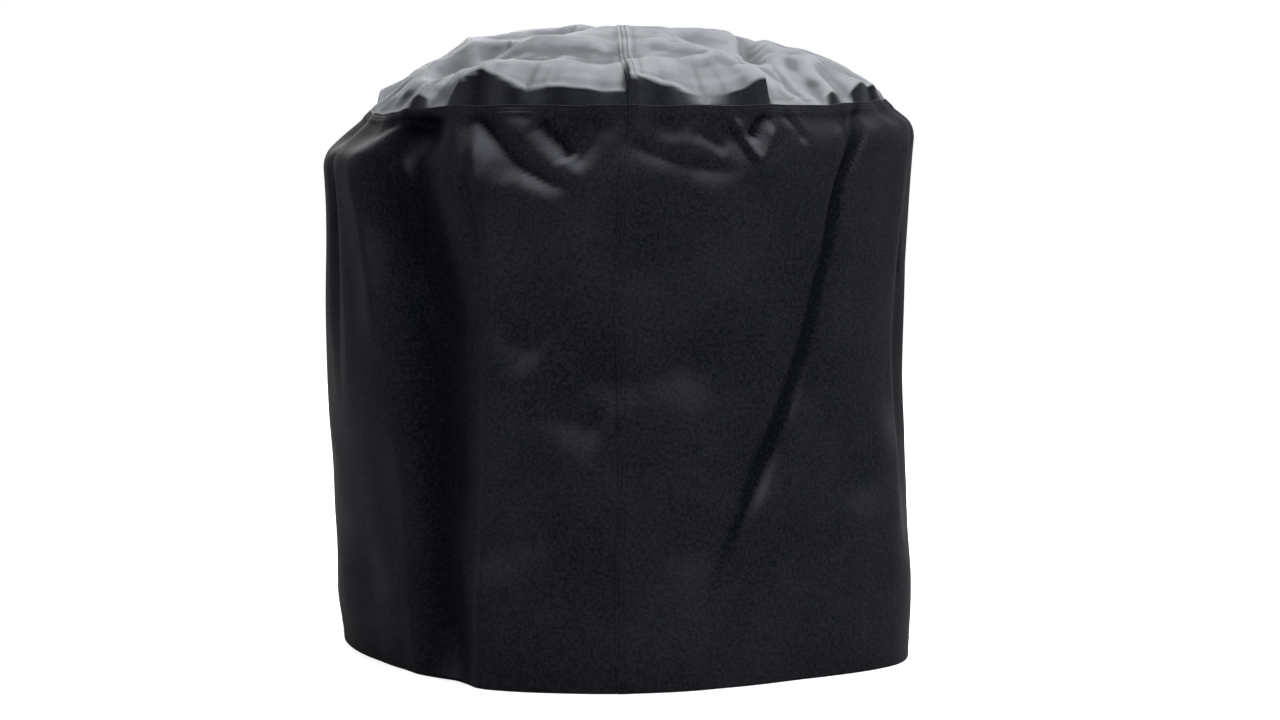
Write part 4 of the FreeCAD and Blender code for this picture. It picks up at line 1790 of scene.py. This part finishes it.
@dataclass(frozen=True)
class CoatedCloth:
    """Black coated polyester, mixed with a pale colour that is painted sheen and partly sun-fade.
    """

    name: str
    black: tuple = (0.0013, 0.0016, 0.0027, 1.0)
    # The pale colour: painted sheen and highlights, and on the crown partly sun-fade.
    painted_light_and_fade: tuple = (0.0640, 0.0655, 0.0770, 1.0)
    roughness: float = 0.55
    specular: float = 0.015
    weave: float = 1300.0
    mottle: float = 8.0
    uneven: float = 0.35
    specks: float = 0.048

    def colour(self, tree: bpy.types.NodeTree, place: bpy.types.NodeSocket) -> bpy.types.NodeSocket:
        """Mixes the black and the pale colour of painted sheen, unevenly and with fine specks.

        Args:
            tree: the node tree.
            place: the place on the piece.

        Returns:
            The mixed colour.
        """
        # The mask is the pieces' painted light: sheen where pale, shade where black.
        mask = add_node(tree, "Attribute", {}, "Fac", attribute_name="painted_light_and_fade")
        mottle = add_noise(tree, place, self.mottle, Detail=6.0, Roughness=0.62)
        uneven = add_spread(tree, mottle, 1.0 - self.uneven, 1.0 + self.uneven)
        speck = add_noise(tree, place, 300.0, Detail=2.0)
        specks = add_spread(tree, speck, -self.specks, self.specks)
        inputs = {0: mask, 1: uneven, 2: specks}
        shade = add_node(tree, "Math", inputs, operation="MULTIPLY_ADD", use_clamp=True)
        inputs = {"A": self.black, "B": self.painted_light_and_fade, "Factor": shade}
        return add_node(tree, "Mix", inputs, "Result", data_type="RGBA")

    def build(self) -> bpy.types.Material:
        """Makes the material.

        Returns:
            The material, whose painted sheen and shade follow each piece's attribute.
        """
        material, tree, shader = new_material(self.name)
        place = add_node(tree, "TexCoord", {}, "Object")
        colour = self.colour(tree, place)
        inputs = {
            "Scale": self.weave,
            "Color1": (0.0, 0.0, 0.0, 1.0),
            "Color2": (1.0, 1.0, 1.0, 1.0),
            "Vector": place.node.outputs["UV"],
        }
        weave = add_bump(tree, add_node(tree, "TexChecker", inputs, "Fac"), 0.25, 0.00015)
        grain = add_noise(tree, place, 420.0, Detail=3.0)
        fill(tree, shader, {
            "Base Color": colour,
            "Normal": add_bump(tree, grain, 0.35, 0.0005, Normal=weave),
            "Roughness": self.roughness,
            "Specular IOR Level": self.specular,
        })
        return material


# The skirt's pale colour is painted sheen on proud and upturned cloth.
SKIRT_FINISH = CoatedCloth("skirt_cloth")
# The crown's pale grey is painted sheen on the upward cloth, and partly sun-fade.
CROWN_FINISH = CoatedCloth(
    "crown_cloth", painted_light_and_fade=(0.188, 0.197, 0.211, 1.0), mottle=16.0, uneven=0.12, specks=0.012
)


@dataclass(frozen=True)
class PlainFinish:
    """A finish of one colour with a fine grain."""

    name: str
    colour: tuple
    roughness: float
    specular: float = 0.3
    metallic: float = 0.0
    grain: float = 900.0

    def build(self) -> bpy.types.Material:
        """Makes the material.

        Returns:
            The material.
        """
        material, tree, shader = new_material(self.name)
        place = add_node(tree, "TexCoord", {}, "Object")
        fill(tree, shader, {
            "Base Color": self.colour,
            "Roughness": self.roughness,
            "Specular IOR Level": self.specular,
            "Metallic": self.metallic,
            "Normal": add_bump(tree, add_noise(tree, place, self.grain), 0.3, 0.0002),
        })
        return material


THREAD_FINISH = PlainFinish("thread", (0.006, 0.006, 0.007, 1.0), 0.75, 0.1)
ELASTIC_FINISH = PlainFinish("elastic", (0.020, 0.020, 0.022, 1.0), 0.75)
FERRULE_FINISH = PlainFinish("ferrule", (0.62, 0.62, 0.64, 1.0), 0.32, 0.5, 1.0, 300.0)


def paint_upward_sheen(piece: bpy.types.Object) -> None:
    """Limits the painted sheen, partly sun-fade, of a crown panel to where it faces up.

    Args:
        piece: the finished panel.
    """
    mesh = piece.data
    crest = np.empty(len(mesh.vertices))
    mesh.attributes["painted_light_and_fade"].data.foreach_get("value", crest)
    normals = np.empty(len(mesh.vertices) * 3)
    mesh.vertex_normals.foreach_get("vector", normals)
    up = normals.reshape(-1, 3)[:, 2]
    place = positions(piece)
    round_rim = np.arctan2(place[:, 0], -place[:, 1]) * 0.33
    # Steep falls keep only a near-black tone that varies round the rim; the painted sheen goes
    # where the crown faces up.
    least = np.clip(0.055 + 0.035 * wavy(round_rim, 0.06, 8), 0.0, 1.0)
    pale = least + (crest - least) * smoothstep(0.32, 0.62, up)
    mesh.attributes["painted_light_and_fade"].data.foreach_set("value", pale.astype(np.float32))


# ---- the studio ---------------------------------------------------------------------------
@dataclass(frozen=True)
class Lamp:
    """A soft rectangular lamp, which faces a height on the cover's middle line."""

    name: str
    place: tuple
    aim: float
    size: tuple
    power: float

    def build(self) -> None:
        """Hangs the lamp, with its power in watts."""
        bpy.ops.object.light_add(type="AREA", location=self.place)
        lamp = bpy.context.object
        lamp.name = self.name
        lamp.data.shape = "RECTANGLE"
        lamp.data.size, lamp.data.size_y = self.size
        lamp.data.energy = self.power
        facing = Vector((0.0, 0.0, self.aim)) - Vector(self.place)
        lamp.rotation_euler = facing.to_track_quat("-Z", "Y").to_euler()


LAMPS = (
    Lamp("overhead", (1.1, 0.5, 2.9), 0.6, (1.4, 1.2), 84.0),
    Lamp("key", (1.7, -2.3, 2.3), 0.40, (0.9, 0.9), 105.0),
    Lamp("left", (-2.6, -1.2, 1.6), 0.35, (1.4, 1.4), 22.0),
    Lamp("back", (-0.8, 2.9, 2.0), 0.35, (1.6, 1.4), 60.0),
)
WHITE = (1.0, 1.0, 1.0, 1.0)


@dataclass(frozen=True)
class Studio:
    """Camera, floor and world, and the lamps.

    The floor has a colour of its own and a glow that only the camera sees.
    """

    camera_distance: float = 3.755
    camera_height: float = 0.665
    film: float = 36.0
    lens: float = 3100.0 / 1280.0 * 36.0
    pitch: float = 0.0862
    yaw: float = 0.00742
    white: float = 0.80
    glow: float = 0.66
    ambient: float = 0.45

    def build_camera(self) -> None:
        """Puts the camera a little above the rim, square to the front seam."""
        bpy.ops.object.camera_add(location=(0.0, -self.camera_distance, self.camera_height))
        camera = bpy.context.object
        camera.name = "camera"
        camera.rotation_euler = (QUARTER - self.pitch, 0.0, -self.yaw)
        camera.data.lens = self.lens
        camera.data.sensor_width = self.film
        bpy.context.scene.camera = camera

    def build_floor(self) -> None:
        """Lays the pale floor, which looks plain white to the camera but for the shadow on it."""
        bpy.ops.mesh.primitive_plane_add(size=40.0)
        floor = named("floor")
        material, tree, shader = new_material("floor")
        seen = add_node(tree, "LightPath", {}, "Is Camera Ray")
        glow = add_node(tree, "Math", {0: seen, 1: self.glow}, operation="MULTIPLY")
        fill(tree, shader, {
            "Base Color": (self.white, self.white, self.white, 1.0),
            "Roughness": 0.9,
            "Specular IOR Level": 0.0,
            "Emission Color": WHITE,
            "Emission Strength": glow,
        })
        floor.data.materials.append(material)

    def build_world(self) -> None:
        """Sets a plain world: white to the eye, and a modest grey as light."""
        scene = bpy.context.scene
        scene.world = bpy.data.worlds.new("studio")
        scene.world.use_nodes = True
        tree = scene.world.node_tree
        seen = add_node(tree, "LightPath", {}, "Is Camera Ray")
        rays = seen.node.outputs
        for other in ("Is Glossy Ray", "Is Transmission Ray"):
            seen = add_node(tree, "Math", {0: seen, 1: rays[other]}, operation="MAXIMUM")
        inputs = {"To Min": self.ambient, "To Max": 1.0, "Value": seen}
        strength = add_node(tree, "MapRange", inputs, "Result")
        fill(tree, tree.nodes["Background"], {"Strength": strength, "Color": WHITE})

    def build(self) -> None:
        """Sets up the whole studio."""
        bpy.context.scene.view_settings.view_transform = "Standard"
        self.build_camera()
        for lamp in LAMPS:
            lamp.build()
        self.build_floor()
        self.build_world()


# ---- the whole cover ----------------------------------------------------------------------
def finish_piece(
    piece: bpy.types.Object, node: str, material: bpy.types.Material
) -> None:
    """Gives a piece its material, hangs it under the root body and hides the CAD node that it
    stands for.

    Args:
        piece: the piece.
        node: the CAD node that it replaces.
        material: its material.
    """
    piece.data.materials.clear()
    piece.data.materials.append(material)
    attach(piece, "root")
    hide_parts(node)


def build_cover() -> None:
    """Makes every piece of the cover."""
    low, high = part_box("skirt_right_panel")
    crown_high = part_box("crown_right_panel")[1]
    drape = Drape(height=crown_high[2] - 0.0014, skirt_radius=high[0])
    crumple = CrumpledCloth(drape)
    crumple.run()
    tailor = Tailor(CoverSurface(drape, crumple))
    crown_cloth, skirt_cloth = CROWN_FINISH.build(), SKIRT_FINISH.build()
    for side in Side:
        name = side.name.lower()
        crown = CrownPanel(side, tailor).build()
        finish_piece(crown, f"crown_{name}_panel", crown_cloth)
        # Painted sheen where the crown faces up.
        paint_upward_sheen(crown)
        skirt = SkirtPanel(side, tailor).build()
        finish_piece(skirt, f"skirt_{name}_panel", skirt_cloth)
    thread = THREAD_FINISH.build()
    for node, row in StitchPlan(tailor).build().items():
        finish_piece(row, node, thread)
    elastic = HemElastic(tailor)
    finish_piece(elastic.build_cord(), "hem_elastic_cord", ELASTIC_FINISH.build())
    finish_piece(elastic.build_ferrule(), "hem_cord_ferrule", FERRULE_FINISH.build())


def main() -> None:
    """Builds the scene."""
    logging.basicConfig(level=logging.INFO, format="%(name)s %(relativeCreated)d ms: %(message)s")
    Studio().build()
    build_cover()


if __name__ == "__main__":
    main()
